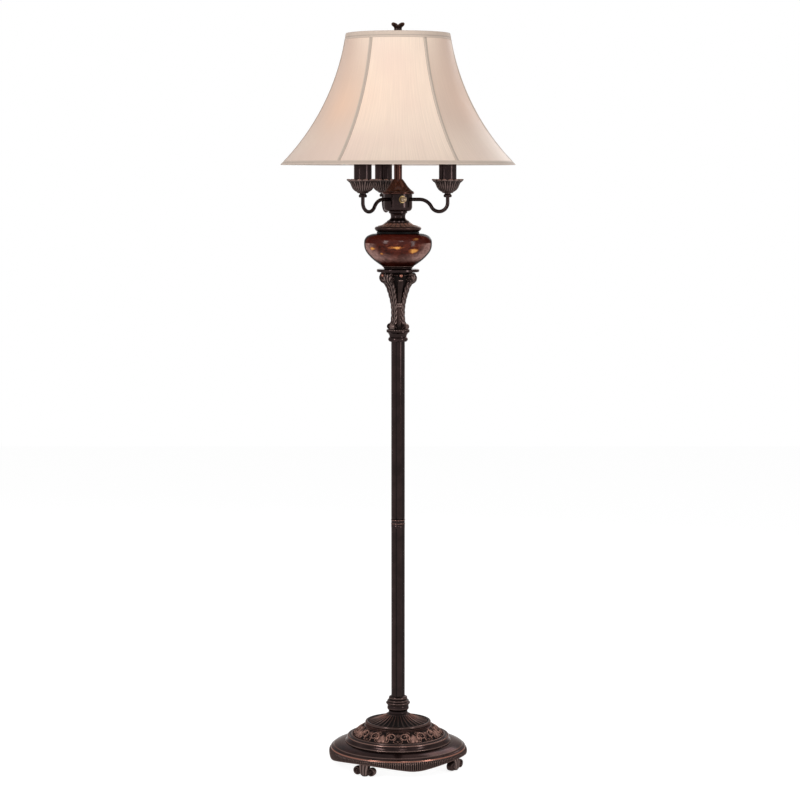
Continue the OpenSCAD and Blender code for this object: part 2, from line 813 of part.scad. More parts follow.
module font_glass() {
    r = font_d / 2;
    hole = spacer_d / 2 + 5;
    outside = glass_outline(r, font_h);
    inside = [for (p = outside)
        [p[0] * (1 - font_wall / r), font_wall + p[1] * (1 - 1.6 * font_wall / font_h)]];
    color(tortoise) translate([0, 0, glass_bottom]) rotate_extrude() polygon(concat(
        [[hole, 0]], outside, [[0.62 * r - font_wall, font_h]], backward(inside),
        [[hole, font_wall]]));
}

module font_spacer() {
    color(brass) translate([0, 0, seat_floor])
        tube(spacer_d / 2, pipe_hole, font_cap_bottom + font_cap_recess - seat_floor);
}

module font_top_ring() {
    color(felt) translate([0, 0, glass_top])
        tube(top_ring_d / 2, 0.62 * font_d / 2 - font_wall, top_ring_h);
}

module font_cap() {
    r = font_cap_d / 2;
    h = font_cap_h;
    color(bronze) translate([0, 0, font_cap_bottom]) rotate_extrude() polygon(concat(
        [[0.76 * r, 0], [0.87 * r, 0]],
        bow([0.90 * r, 0.06 * h], [0.95 * r, 0.44 * h], 0.07 * r),
        bow([0.90 * r, 0.50 * h], [0.60 * r, 0.68 * h], -0.03 * r),
        bow([0.56 * r, 0.78 * h], [neck_d / 2 + 1, h], 0.01 * r),
        [[pipe_hole, h], [pipe_hole, font_cap_recess], [0.76 * r, font_cap_recess]]));
}

module font_neck() {
    r = neck_d / 2;
    h = neck_h;
    color(bronze) turned(shifted(concat(
        [[r, 0], [0.98 * r, 0.10 * h]],
        bow([0.92 * r, 0.14 * h], [0.72 * r, 0.80 * h], -0.17 * r),
        [[0.82 * r, 0.86 * h], [0.82 * r, h]]), 0, neck_bottom), pipe_hole);
}

// Cluster body and arms

function cluster_outline(r, h) = concat(
    [[0.66 * r, 0]],
    bow([0.66 * r, 0], [r, 0.24 * h], 0.10 * r),
    [[r, h]]);

module cluster_body() {
    outside = cluster_outline(cluster_d / 2, cluster_h);
    inside = shifted(cluster_outline(cluster_inner_r, cluster_h), 0, cluster_wall);
    color(bronze) translate([0, 0, cluster_bottom]) difference() {
        rotate_extrude() polygon(concat(
            [[pipe_hole, 0]], outside, [[cluster_inner_r, cluster_h]],
            backward([for (p = inside) if (p[1] < cluster_h) p]),
            [[pipe_hole, cluster_wall]]));
        for (i = ARMS) on_azimuth(first_arm - arm_step * i) translate([cluster_d / 4, 0, arm_rise])
            rotate([0, 90, 0]) cylinder(d = arm_d + 2 * slip, h = cluster_d);
        on_azimuth(switch_azimuth) translate([cluster_d / 4, 0, arm_rise])
            rotate([0, 90, 0]) cylinder(d = switch_neck_d + 2 * slip, h = cluster_d);
    }
}

// A round bar or tube along an arm's route, from an inner end up to the level top,
// with the level stretch at z = 0. Every other stretch is a hair thinner and laps into
// its neighbours, so that they fuse into one.
module arm_route(outer, inner, start, top) {
    curl_z = arm_curl - arm_dip;
    lap = 0.5;
    turn = atan(lap / arm_shoulder);
    translate([start, 0, 0]) rotate([0, 90, 0]) linear_extrude(arm_bend - start)
        ring(outer, inner);
    upright_arc(arm_bend, -arm_shoulder, arm_slope - turn, 90 - arm_slope + 2 * turn)
        translate([arm_shoulder, 0]) ring(outer - 0.04, inner + 0.04);
    upright_arc(arm_dip_r, curl_z, 180 + arm_slope, 180 - arm_slope)
        translate([arm_curl, 0]) ring(outer, inner);
    translate([arm_reach, 0, curl_z - lap]) linear_extrude(top - curl_z + lap)
        ring(outer - 0.04, inner + 0.04);
}

module ring(outer, inner) {
    difference() {
        circle(d = outer);
        if (inner > 1) circle(d = inner);
    }
}

module arm(i) {
    color(bronze) translate([0, 0, arm_z]) on_azimuth(first_arm - arm_step * i)
        arm_route(arm_d, arm_bore, arm_inner_end, candle_flange_z - arm_z);
}

module cluster_nuts() {
    color(brass) {
        translate([0, 0, cluster_bottom + cluster_wall]) hex_nut(nut_w, pipe_hole, nut_h);
        for (i = ARMS) on_azimuth(first_arm - arm_step * i)
            translate([arm_nut_r - arm_nut_t, 0, arm_z]) rotate([0, 90, 0])
                hex_nut(arm_nut_w, arm_d / 2 + slip, arm_nut_t);
    }
}

// Candles

module on_candle(i, z) {
    on_azimuth(first_arm - arm_step * i) translate([arm_reach, 0, z]) children();
}

module cup_collars() {
    r = collar_d / 2;
    h = collar_h;
    color(bronze) for (i = ARMS) on_candle(i, cup_collar_z)
        turned(concat(
            bow([0.86 * r, 0], [0.86 * r, 0.72 * h], 0.14 * r),
            [[0.76 * r, 0.78 * h], [0.76 * r, h]]), arm_d / 2 + slip);
}

function cup_outline() = scaled([
    [0.31, 0], [0.43, 0.19], [0.52, 0.32], [0.61, 0.41], [0.69, 0.56], [0.76, 0.73],
    [0.83, 0.86], [0.95, 0.955], [1, 1],
], cup_d / 2, cup_h);

module candle_cup(i) {
    outside = cup_outline();
    inside = [for (p = shifted(outside, -cup_wall, 0)) if (p[1] > cup_wall) p];
    floor_r = inside[0][0];
    bore_r = arm_d / 2 + slip;
    color(bronze) on_candle(i, cup_z) rotate_extrude() polygon(concat(
        [[bore_r, 0]], outside, backward(inside), [[floor_r, cup_wall], [bore_r, cup_wall]]));
}

module candle_sockets() {
    body_h = candle_bulb_z + 0.8 * socket_depth - candle_flange_z;
    floor_z = candle_bulb_z - candle_flange_z;
    hub_r = 0.25 * sleeve_d / 2 + arm_d / 4;
    color(porcelain) for (i = ARMS) on_candle(i, candle_flange_z) rotate_extrude() polygon([
        [arm_d / 2 + slip, -socket_hub_h], [hub_r, -socket_hub_h], [hub_r, 0],
        [sleeve_d / 2, 0], [sleeve_d / 2, candle_flange_t], [hub_r, candle_flange_t],
        [hub_r, floor_z - socket_floor_t], [socket_outer_r, floor_z - socket_floor_t],
        [socket_outer_r, body_h], [socket_bore / 2, body_h], [socket_bore / 2, floor_z],
        [0, floor_z], [0, 0.3 * floor_z], [arm_d / 2 + slip, 0.3 * floor_z],
    ]);
}

module candle_sleeve(i) {
    color(bronze) on_candle(i, sleeve_z)
        tube(sleeve_d / 2, sleeve_d / 2 - sleeve_wall, sleeve_len);
}

// Half the section of a bulb's skin, from its base up to its crown
function bulb_outline(base_r, globe) =
    let (centre = [0, bulb_len - bulb_d / 2])
    let (join = centre + globe * [cos(-35), sin(-35)])
    concat(
        bow([base_r, bulb_base_h], join, -0.02 * bulb_len),
        arc(centre, globe, -35, 90, 12));

// A pear-shaped hollow bulb standing on its screw base, with a vent in the base
module bulb() {
    base_r = bulb_base_d / 2;
    vent_r = 2;
    rotate_extrude() polygon(concat(
        [[vent_r, 0], [0.72 * base_r, 0], [base_r, 0.16 * bulb_base_h]],
        bulb_outline(base_r, bulb_d / 2),
        backward(bulb_outline(base_r - bulb_wall, bulb_d / 2 - bulb_wall)),
        [[base_r - bulb_wall, 0.2 * bulb_base_h], [vent_r, 0.2 * bulb_base_h]]));
}

module candle_bulbs() {
    color(bulb_white) for (i = ARMS) on_candle(i, candle_bulb_z) bulb();
}

// Switch

module switch_body() {
    color(iron) on_azimuth(switch_azimuth) translate([switch_front - switch_len, 0, arm_z])
        rotate([0, 90, 0]) difference() {
            union() {
                cylinder(d = switch_d, h = switch_len);
                cylinder(d = switch_neck_d, h = knob_r - 1 - switch_front + switch_len);
            }
            translate([0, 0, switch_len / 2 - 1])
                cylinder(d = shaft_d + 2 * run_gap, h = knob_r);
        }
}

module switch_nut() {
    color(brass) on_azimuth(switch_azimuth) translate([cluster_d / 2 + 0.05, 0, arm_z])
        rotate([0, 90, 0]) tube(switch_nut_d / 2, switch_neck_d / 2 + slip, switch_nut_t);
}

module switch_knob() {
    r = knob_d / 2;
    color(brass) on_azimuth(switch_azimuth) translate([knob_r, 0, arm_z]) rotate([0, 90, 0])
        rotate_extrude() polygon(concat(
            [[0, -shaft_len], [shaft_d / 2, -shaft_len], [shaft_d / 2, 0]],
            [[0.86 * r, 0], [r, 0.14 * r]],
            bow([r, 0.75 * knob_len], [0, knob_len], 0.12 * r)));
}

// Bell cap, riser and centre socket

function bell_outline(r, h) = concat(
    [[r, 0], [r, 0.15 * h]],
    bow([0.97 * r, 0.16 * h], [0.37 * r, 0.95 * h], -0.17 * r),
    [[0.36 * r, h]]);

module bell_cap() {
    outside = bell_outline(bell_d / 2, bell_h);
    inside = [for (p = shifted(bell_outline(bell_d / 2, bell_h), -bell_wall, -bell_wall))
        if (p[1] > bell_wall && p[0] < cluster_inner_r && p[1] < bell_h - 2 * bell_wall) p];
    last = inside[len(inside) - 1];
    color(copper_bronze) translate([0, 0, cluster_top]) rotate_extrude() polygon(concat(
        [[cluster_inner_r, 0]], outside,
        [[pipe_hole, bell_h], [pipe_hole, last[1]]], backward(inside),
        [[cluster_inner_r, inside[0][1]]]));
}

module riser_tube() {
    color(copper_bronze) translate([0, 0, riser_bottom])
        tube(riser_d / 2, pipe_hole, riser_len);
}

module harp_saddle() {
    foot = harp_foot_w / 2;
    color(brass) difference() {
        union() {
            translate([-foot, -saddle_w / 2, saddle_bottom])
                cube([2 * foot, saddle_w, saddle_t]);
            for (side = [-1, 1]) translate([side * foot, 0, saddle_bottom]) {
                cylinder(d = saddle_w, h = saddle_t);
                cylinder(d = harp_wire, h = saddle_t + post_len);
            }
        }
        translate([0, 0, saddle_bottom - 1]) cylinder(r = pipe_hole, h = saddle_t + 2);
    }
}

module socket_cap() {
    r = shell_d / 2;
    h = socket_cap_h;
    wall = 1.2;
    outside = concat([[0.45 * r, 0], [0.45 * r, 0.2 * h]],
        bow([0.5 * r, 0.25 * h], [r, 0.62 * h], 0.10 * r), [[r, h]]);
    color(brass) translate([0, 0, saddle_top]) rotate_extrude() polygon(concat(
        [[pipe_hole, 0]], outside,
        [[r - wall, h], [r - wall, 0.75 * h], [pipe_hole, 0.75 * h]]));
}

module socket_shell() {
    color(brass) translate([0, 0, shell_bottom])
        tube(shell_d / 2, shell_d / 2 - shell_wall, socket_floor_t + socket_depth);
}

module socket_insulator() {
    outer_r = shell_d / 2 - shell_wall - slip;
    depth = 0.85 * socket_depth;
    color(porcelain) translate([0, 0, shell_bottom]) difference() {
        cylinder(r = outer_r, h = socket_floor_t + depth);
        translate([0, 0, socket_floor_t]) cylinder(d = socket_bore, h = depth + 1);
    }
}

module centre_bulb() {
    color(bulb_white) translate([0, 0, centre_bulb_z]) bulb();
}

// Harp, ferrules and finial

// A straight round bar between two points of the plane y = 0, with rounded ends
module bar(p, q, d) {
    run = q - p;
    translate([p[0], 0, p[1]]) rotate([0, atan2(run[0], run[1]), 0])
        cylinder(d = d, h = norm(run));
    translate([p[0], 0, p[1]]) sphere(d = d);
    translate([q[0], 0, q[1]]) sphere(d = d);
}

module harp_side(side) {
    foot = side * harp_foot_w / 2;
    wide = side * harp_w / 2;
    translate([foot, 0, harp_joint_z])
        cylinder(d = harp_wire, h = harp_straight_top - harp_joint_z);
    bar([foot, harp_straight_top], [wide, harp_bend_z], harp_wire);
    translate([wide, 0, harp_bend_z]) cylinder(d = harp_wire, h = harp_arc_z - harp_bend_z);
}

module harp() {
    color(brass) {
        harp_side(-1);
        harp_side(1);
        upright_arc(0, harp_arc_z, 0, 180) translate([harp_w / 2, 0]) circle(d = harp_wire);
        translate([0, 0, stud_disc_z]) cylinder(d = stud_disc_d, h = stud_disc_t);
        translate([0, 0, stud_disc_z]) cylinder(d = stud_d, h = stud_disc_t + stud_len);
    }
}

module ferrule(side) {
    color(brass) translate([side * harp_foot_w / 2, 0, saddle_top + face_gap])
        tube(ferrule_d / 2, harp_wire / 2 + run_gap, ferrule_len);
}

module finial() {
    r = finial_d / 2;
    swell = finial_bulb_d / 2;
    h = finial_h;
    bore_h = stud_len - hub_t - 2 * face_gap + 2;
    bore_r = stud_d / 2 + run_gap;
    petals = 4;
    color(bronze) translate([0, 0, finial_bottom]) difference() {
        rotate_extrude() polygon(concat(
            [[bore_r, 0], [0.62 * swell, 0], [0.62 * swell, 0.08 * h]],
            bow([0.75 * swell, 0.10 * h], [0.93 * swell, 0.46 * h], 0.22 * swell),
            bow([0.80 * swell, 0.50 * h], [0.53 * r, 0.63 * h], -0.04 * r),
            bow([0.53 * r, 0.63 * h], [r, h], -0.10 * r),
            [[0.90 * r, h], [0.30 * r, 0.78 * h], [0, 0.76 * h], [0, bore_h], [bore_r, bore_h]]));
        around(petals, 0) translate([0, 0, 0.84 * h]) rotate([90, 0, 90])
            linear_extrude(2 * r) polygon([[0, 0], [0.35 * r, 0.2 * h], [-0.35 * r, 0.2 * h]]);
    }
}

// Shade

// Angle on the bell curve at a share u of the height, 0 at the hem and 1 at the top
function curve_angle(u) = 180 + asin((curve_z - shade_bottom - u * shade_h) / shade_curve);

// The same angle for a height z and a depth under the shade's surface, and its share
function depth_angle(z, depth) = 180 + asin((curve_z - z) / (shade_curve + depth));
function angle_share(a) = (curve_z - shade_bottom + shade_curve * sin(a)) / shade_h;

// A point of the shade, a depth under its surface, at u up and turn degrees round
function shade_point(u, turn, depth) =
    let (a = curve_angle(u))
    let (half = 180 / shade_panels)
    let (rib_r = curve_r + (shade_curve + depth) * cos(a))
    let (off = (turn - floor(turn / (2 * half)) * 2 * half) - half)
    let (flat = panel_flatness * pow(sin(180 * min(1, max(0, u))), 0.8))
    let (r = rib_r * (1 - flat + flat * cos(half) / cos(off)))
    let (azimuth = first_rib + turn - 90)
    [r * cos(azimuth), r * sin(azimuth), curve_z + (shade_curve + depth) * sin(a)];

// A closed skin between two depths, through the given shares of the shade's height
module shade_skin(shares, outer_depth, inner_depth, across = 6) {
    columns = shade_panels * across;
    rows = len(shares) - 1;
    layer = (rows + 1) * columns;
    points = [for (depth = [outer_depth, inner_depth], u = shares, j = [0:columns - 1])
        shade_point(u, 360 * j / columns, depth)];
    function at(side, k, j) = side * layer + k * columns + j % columns;
    function facing(a, b, c, d, flip) = flip ? [[a, b, c], [a, c, d]] : [[c, b, a], [d, c, a]];
    walls = [for (side = [0, 1], k = [0:rows - 1], j = [0:columns - 1])
        each facing(at(side, k, j), at(side, k, j + 1), at(side, k + 1, j + 1),
            at(side, k + 1, j), side == 1)];
    edges = [for (k = [0, rows], j = [0:columns - 1])
        each facing(at(0, k, j), at(1, k, j), at(1, k, j + 1), at(0, k, j + 1), k == rows)];
    polyhedron(points, concat(walls, edges));
}

module shade_fabric() {
    rows = 10;
    between = [for (k = [1:rows - 1]) hem_share + (top_share - hem_share) * k / rows];
    shares = concat([0.002, hem_share], between, [top_share, 0.998]);
    color(silk) shade_skin(shares, fabric_depth, lining_depth);
}

module shade_trim() {
    first = curve_angle(1);
    color(braid) {
        shade_skin([0, hem_share], 0, tape_t);
        shade_skin([top_share, 1], 0, tape_t);
        around(shade_panels, first_rib) upright_arc(curve_r, curve_z, first,
            curve_angle(0) - first) translate([shade_curve, -rib_tape_w / 2])
                square([tape_t, rib_tape_w]);
    }
}

// Radius of the clear space inside the lining at a height, mid panel
function lining_radius(z) =
    let (u = angle_share(depth_angle(z, lining_depth)))
    let (p = shade_point(u, 180 / shade_panels, lining_depth))
    norm([p[0], p[1]]) * cos(5);

// The middle of a rib's wire at a height
function rib_point(z) =
    [curve_r + (shade_curve + rib_depth) * cos(depth_angle(z, rib_depth)), z];

// Ribs and spider arms stop short of the ring wires, and welds join them
module shade_frame() {
    weld_d = 2 * ring_wire;
    tack_d = 0.9 * rib_wire;
    reach = 0.9 * ring_wire;
    top_z = shade_top - ring_wire;
    hem_z = shade_bottom + ring_wire;
    top_r = lining_radius(top_z) - 0.75 * ring_wire - seam_gap;
    hem_r = lining_radius(hem_z) - 0.75 * ring_wire - seam_gap;
    first = depth_angle(top_z - reach, rib_depth);
    last = depth_angle(hem_z + reach, rib_depth);
    arm_start = hub_d / 2 - 1.5;
    hub_mid = hub_bottom + hub_t / 2;
    color(steel) {
        translate([0, 0, hub_bottom]) tube(hub_d / 2, stud_d / 2 + run_gap, hub_t);
        around(3, first_rib) {
            bar([arm_start, hub_mid], [top_r - reach, top_z], 0.8 * ring_wire);
            translate([top_r, 0, top_z]) sphere(d = weld_d);
        }
        translate([0, 0, top_z]) rotate_extrude() translate([top_r, 0]) circle(d = ring_wire);
        translate([0, 0, hem_z]) rotate_extrude() translate([hem_r, 0]) circle(d = ring_wire);
        around(shade_panels, first_rib) {
            upright_arc(curve_r, curve_z, first, last - first)
                translate([shade_curve + rib_depth, 0]) circle(d = rib_wire);
            translate([hem_r, 0, hem_z]) sphere(d = weld_d);
            bar([top_r, top_z], rib_point(top_z - 1.6 * reach), tack_d);
        }
    }
}

// Wires inside the pipes and the arms, from the cord outlet to the sockets
module wiring() {
    cable = pipe_bore - 0.6;
    low = base_pipe_bottom - 3;
    outlet_r = outlet_flange_r - 8;
    color(felt) {
        translate([0, 0, low]) cylinder(d = cable, h = shell_bottom - 4 - low);
        on_azimuth(outlet_azimuth) {
            bar([0, low], [outlet_r, low], 3);
            bar([outlet_r, low], [outlet_flange_r - 2.5, outlet_z], 3);
        }
        translate([0, 0, arm_z]) for (i = ARMS) on_azimuth(first_arm - arm_step * i)
            arm_route(arm_bore - 0.6, 0, arm_inner_end, candle_flange_z - arm_z);
    }
}

foot_pads();
scroll_feet();
foot_screws();
base_plate();
cord_outlet();
base_weight();
bottom_cover();
base_nuts();
base_pipe();
ogee_ring();
leaf_dome();
fluted_disc();
foot_collar();
pole_inserts();
lower_pole();
pole_joint();
upper_pole();
top_collar();
capital();
capital_disc();
stem_pipe();
font_seat();
font_gasket();
font_glass();
font_spacer();
font_top_ring();
font_cap();
font_neck();
cluster_body();
cluster_nuts();
for (i = ARMS) arm(i);
cup_collars();
for (i = ARMS) candle_cup(i);
candle_sockets();
for (i = ARMS) candle_sleeve(i);
candle_bulbs();
switch_body();
switch_nut();
switch_knob();
bell_cap();
riser_tube();
harp_saddle();
socket_cap();
socket_shell();
socket_insulator();
centre_bulb();
harp();
ferrule(-1);  // ferrule_left
ferrule(1);  // ferrule_right
shade_frame();
shade_fabric();
shade_trim();
finial();
wiring();
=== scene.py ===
"""Finish and fine shapes of a candlestick floor lamp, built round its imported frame.

The shapes' lengths are millimetres in the frame's own axes: +Z up, -Y to the front. The
finishes, the lights, the camera and the floor use metres. An azimuth is measured about Z
from the front toward the right (+X). Outlines are radius and height pairs.
"""

import logging
import math
from dataclasses import dataclass
from enum import Enum
from typing import Callable, Optional, Sequence, Union

import bmesh
import bpy
import numpy as np
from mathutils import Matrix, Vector


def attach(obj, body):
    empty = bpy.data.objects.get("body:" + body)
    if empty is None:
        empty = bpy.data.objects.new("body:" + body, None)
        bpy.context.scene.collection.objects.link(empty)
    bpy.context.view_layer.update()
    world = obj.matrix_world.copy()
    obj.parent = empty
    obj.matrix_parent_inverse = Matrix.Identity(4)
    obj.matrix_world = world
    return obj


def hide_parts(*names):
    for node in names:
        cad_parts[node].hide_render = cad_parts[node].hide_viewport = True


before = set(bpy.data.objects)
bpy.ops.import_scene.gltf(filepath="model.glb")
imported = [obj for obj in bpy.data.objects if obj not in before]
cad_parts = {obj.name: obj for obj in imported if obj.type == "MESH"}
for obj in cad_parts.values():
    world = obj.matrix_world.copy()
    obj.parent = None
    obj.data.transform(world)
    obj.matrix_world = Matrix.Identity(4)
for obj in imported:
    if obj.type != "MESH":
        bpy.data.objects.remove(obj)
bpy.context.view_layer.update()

MM = 0.001
# Points closer than WELD become one, and faces thinner than SLIVER go, both in metres.
WELD = 1e-6
SLIVER = 1e-7
# The bore round the threaded pipe that runs up the lamp, as a radius in millimetres.
PIPE_BORE = 5.2
ALL_ROUND = 2.0 * math.pi
LOG = logging.getLogger("floor_lamp")

Array = np.ndarray
Material = bpy.types.Material
Piece = bpy.types.Object
Socket = bpy.types.NodeSocket
Number = Union[float, "Value"]
Pair = tuple[float, float]
Outline = Sequence[Pair]
Rgb = tuple[float, float, float]
Triple = tuple[float, float, float]


class Body(Enum):
    """The moving bodies that pieces ride on."""

    LAMP = "lamp"
    SWITCH = "switch"
    SHADE = "shade"
    FINIAL = "finial"


class Mark(Enum):
    """Marks that a mesh carries for its finish to show: copper rubbing with painted highlight, and grime
    with painted shade in hollows.
    """

    RUB_AND_HIGHLIGHT = "rub"
    RECESS = "recess"


# Shader maths ----------------------------------------------------------


class Signal:
    """Something that varies over a surface."""

    def __init__(self, shader: "Shader", socket: Socket) -> None:
        """Wraps a socket.

        Args:
            shader: the node tree that the socket belongs to.
            socket: the output that it comes from.
        """
        self.shader = shader
        self.socket = socket


class Value(Signal):
    """A number that varies over a surface. Arithmetic on it adds Math nodes."""

    def _math(self, operation: str, *terms: Number) -> "Value":
        """The result of a Math node.

        Args:
            operation: the node's operation.
            terms: its inputs in order.

        Returns:
            The node's output.
        """
        node = self.shader.add("ShaderNodeMath", {"operation": operation}, dict(enumerate(terms)))
        return Value(self.shader, node.outputs[0])

    def __add__(self, other: Number) -> "Value":
        """This plus other."""
        return self._math("ADD", self, other)

    __radd__ = __add__

    def __sub__(self, other: Number) -> "Value":
        """This minus other."""
        return self._math("SUBTRACT", self, other)

    def __rsub__(self, other: Number) -> "Value":
        """Other minus this."""
        return self._math("SUBTRACT", other, self)

    def __mul__(self, other: Number) -> "Value":
        """This times other."""
        return self._math("MULTIPLY", self, other)

    __rmul__ = __mul__

    def __truediv__(self, other: Number) -> "Value":
        """This over other."""
        return self._math("DIVIDE", self, other)

    def __pow__(self, other: Number) -> "Value":
        """This raised to other."""
        return self._math("POWER", self, other)

    def sine(self) -> "Value":
        """The sine of this, in radians."""
        return self._math("SINE", self)

    def at_most(self, other: Number) -> "Value":
        """The smaller of this and other."""
        return self._math("MINIMUM", self, other)

    def at_least(self, other: Number) -> "Value":
        """The larger of this and other."""
        return self._math("MAXIMUM", self, other)

    def rise(self, low: float, high: float) -> "Value":
        """0 up to low, 1 from high, and a smooth rise between.

        Args:
            low: where the rise starts.
            high: where it ends.

        Returns:
            The share of the rise.
        """
        node = self.shader.add(
            "ShaderNodeMapRange",
            {"interpolation_type": "SMOOTHSTEP"},
            {"Value": self, "From Min": low, "From Max": high},
        )
        return Value(self.shader, node.outputs["Result"])


class Tint(Signal):
    """A colour that varies over a surface."""

    def toward(self, other: Union["Tint", Rgb], share: Number) -> "Tint":
        """This colour blended toward another.

        Args:
            other: the colour at a share of 1.
            share: how much of the other colour shows.

        Returns:
            The blended colour.
        """
        return self.shader.blend(self, other, share)

    def scaled(self, share: Number) -> "Tint":
        """This colour, brighter or darker by a factor."""
        node = self.shader.add(
            "ShaderNodeVectorMath", {"operation": "SCALE"}, {"Vector": self, "Scale": share}
        )
        return Tint(self.shader, node.outputs[0])


class Shader:
    """One material, and short ways to add nodes to it."""

    def __init__(self, name: str) -> None:
        """Makes an empty material.

        Args:
            name: the material's name.
        """
        self.material = bpy.data.materials.new(name)
        self.material.use_nodes = True
        self.tree = self.material.node_tree
        self.tree.nodes.clear()

    def add(self, kind: str, settings: dict, sockets: dict) -> bpy.types.Node:
        """Adds a node of any kind.

        Args:
            kind: the node's type.
            settings: its properties, and a ramp's stops as (place, colour) pairs.
            sockets: values or links, by the socket's name or number.

        Returns:
            The node.
        """
        node = self.tree.nodes.new(kind)
        for name, setting in settings.items():
            if name == "stops":
                self._set_stops(node.color_ramp, setting)
            else:
                setattr(node, name, setting)
        for key, value in sockets.items():
            socket = node.inputs[key]
            if isinstance(value, Signal):
                self.tree.links.new(value.socket, socket)
            elif isinstance(value, Socket):
                self.tree.links.new(value, socket)
            elif socket.type == "RGBA" and len(value) == 3:
                socket.default_value = (*value, 1.0)
            else:
                socket.default_value = value
        return node

    @staticmethod
    def _set_stops(ramp: bpy.types.ColorRamp, stops: Sequence[tuple[float, Rgb]]) -> None:
        """Gives a ramp its stops.

        Args:
            ramp: the ramp.
            stops: each stop's place and colour.
        """
        while len(ramp.elements) > 1:
            ramp.elements.remove(ramp.elements[-1])
        for number, (place, colour) in enumerate(stops):
            element = ramp.elements[0] if number == 0 else ramp.elements.new(place)
            element.position = place
            element.color = (*colour, 1.0)

    def place(self) -> Socket:
        """The point of the surface in the lamp's own frame, in metres."""
        return self.add("ShaderNodeTexCoord", {}, {}).outputs["Object"]

    def stretched(self, scale: Sequence[float]) -> Socket:
        """The same point with its axes scaled, for patterns that run one way."""
        node = self.add(
            "ShaderNodeMapping", {}, {"Vector": self.place(), "Scale": tuple(scale)}
        )
        return node.outputs[0]

    def axes(self) -> tuple[Value, Value, Value]:
        """The x, y and z of the point, in metres."""
        node = self.add("ShaderNodeSeparateXYZ", {}, {0: self.place()})
        return tuple(Value(self, node.outputs[i]) for i in range(3))

    def azimuth(self) -> Value:
        """The angle about Z from +X, in radians."""
        x, y, _ = self.axes()
        node = self.add("ShaderNodeMath", {"operation": "ARCTAN2"}, {0: y, 1: x})
        return Value(self, node.outputs[0])

    def distance(self, point: Triple, squash: float = 1.0) -> Value:
        """How far the surface is from a point, in metres.

        Args:
            point: the point.
            squash: how many times more a step up counts than a step across.

        Returns:
            The distance.
        """
        x, y, z = point
        node = self.add(
            "ShaderNodeVectorMath", {"operation": "DISTANCE"},
            {0: self.stretched((1.0, 1.0, squash)), 1: (x, y, z * squash)},
        )
        return Value(self, node.outputs["Value"])

    def noise(
        self, scale: float, detail: float = 2.0, warp: float = 0.0,
        vector: Optional[Socket] = None,
    ) -> Value:
        """Smooth noise from 0 to 1.

        Args:
            scale: how many lumps to a metre.
            detail: how many finer layers.
            warp: how far the pattern is bent.
            vector: the point it is read at, or the surface's own.

        Returns:
            The noise.
        """
        node = self.add(
            "ShaderNodeTexNoise", {},
            {"Vector": vector or self.place(), "Scale": scale, "Detail": detail, "Distortion": warp},
        )
        return Value(self, node.outputs[0])

    def mark(self, kind: Mark) -> Value:
        """A mark that the mesh carries, from 0 to 1: rubbing with painted highlight, or grime with painted
        shade.
        """
        node = self.add("ShaderNodeAttribute", {"attribute_name": kind.value}, {})
        return Value(self, node.outputs["Fac"])

    def facing(self) -> Value:
        """How far the surface turns away from the eye, from 0 to 1."""
        return Value(self, self.add("ShaderNodeLayerWeight", {}, {"Blend": 0.5}).outputs["Facing"])

    def blend(self, low: Union[Tint, Rgb], high: Union[Tint, Rgb], share: Number) -> Tint:
        """A blend of two colours."""
        node = self.add(
            "ShaderNodeMix", {"data_type": "RGBA"}, {"Factor": share, 6: low, 7: high}
        )
        return Tint(self, node.outputs[2])

    def bump(self, height: Value, depth: float, strength: float = 1.0) -> Socket:
        """A normal bent by a height.

        Args:
            height: the pattern, from 0 to 1.
            depth: how deep it is, in metres.
            strength: how much of it shows.

        Returns:
            The normal.
        """
        node = self.add(
            "ShaderNodeBump", {}, {"Strength": strength, "Distance": depth, "Height": height}
        )
        return node.outputs[0]

    def finish(self, sockets: dict) -> Material:
        """Closes the material with a Principled surface.

        Args:
            sockets: its values or links, by the socket's name.

        Returns:
            The material.
        """
        surface = self.add("ShaderNodeBsdfPrincipled", {}, sockets)
        self.add("ShaderNodeOutputMaterial", {}, {"Surface": surface.outputs[0]})
        return self.material


# Finishes --------------------------------------------------------------


def shades(colour: Rgb, *factors: float) -> tuple[Rgb, ...]:
    """A colour made darker or lighter by each factor."""
    return tuple(tuple(part * factor for part in colour) for factor in factors)


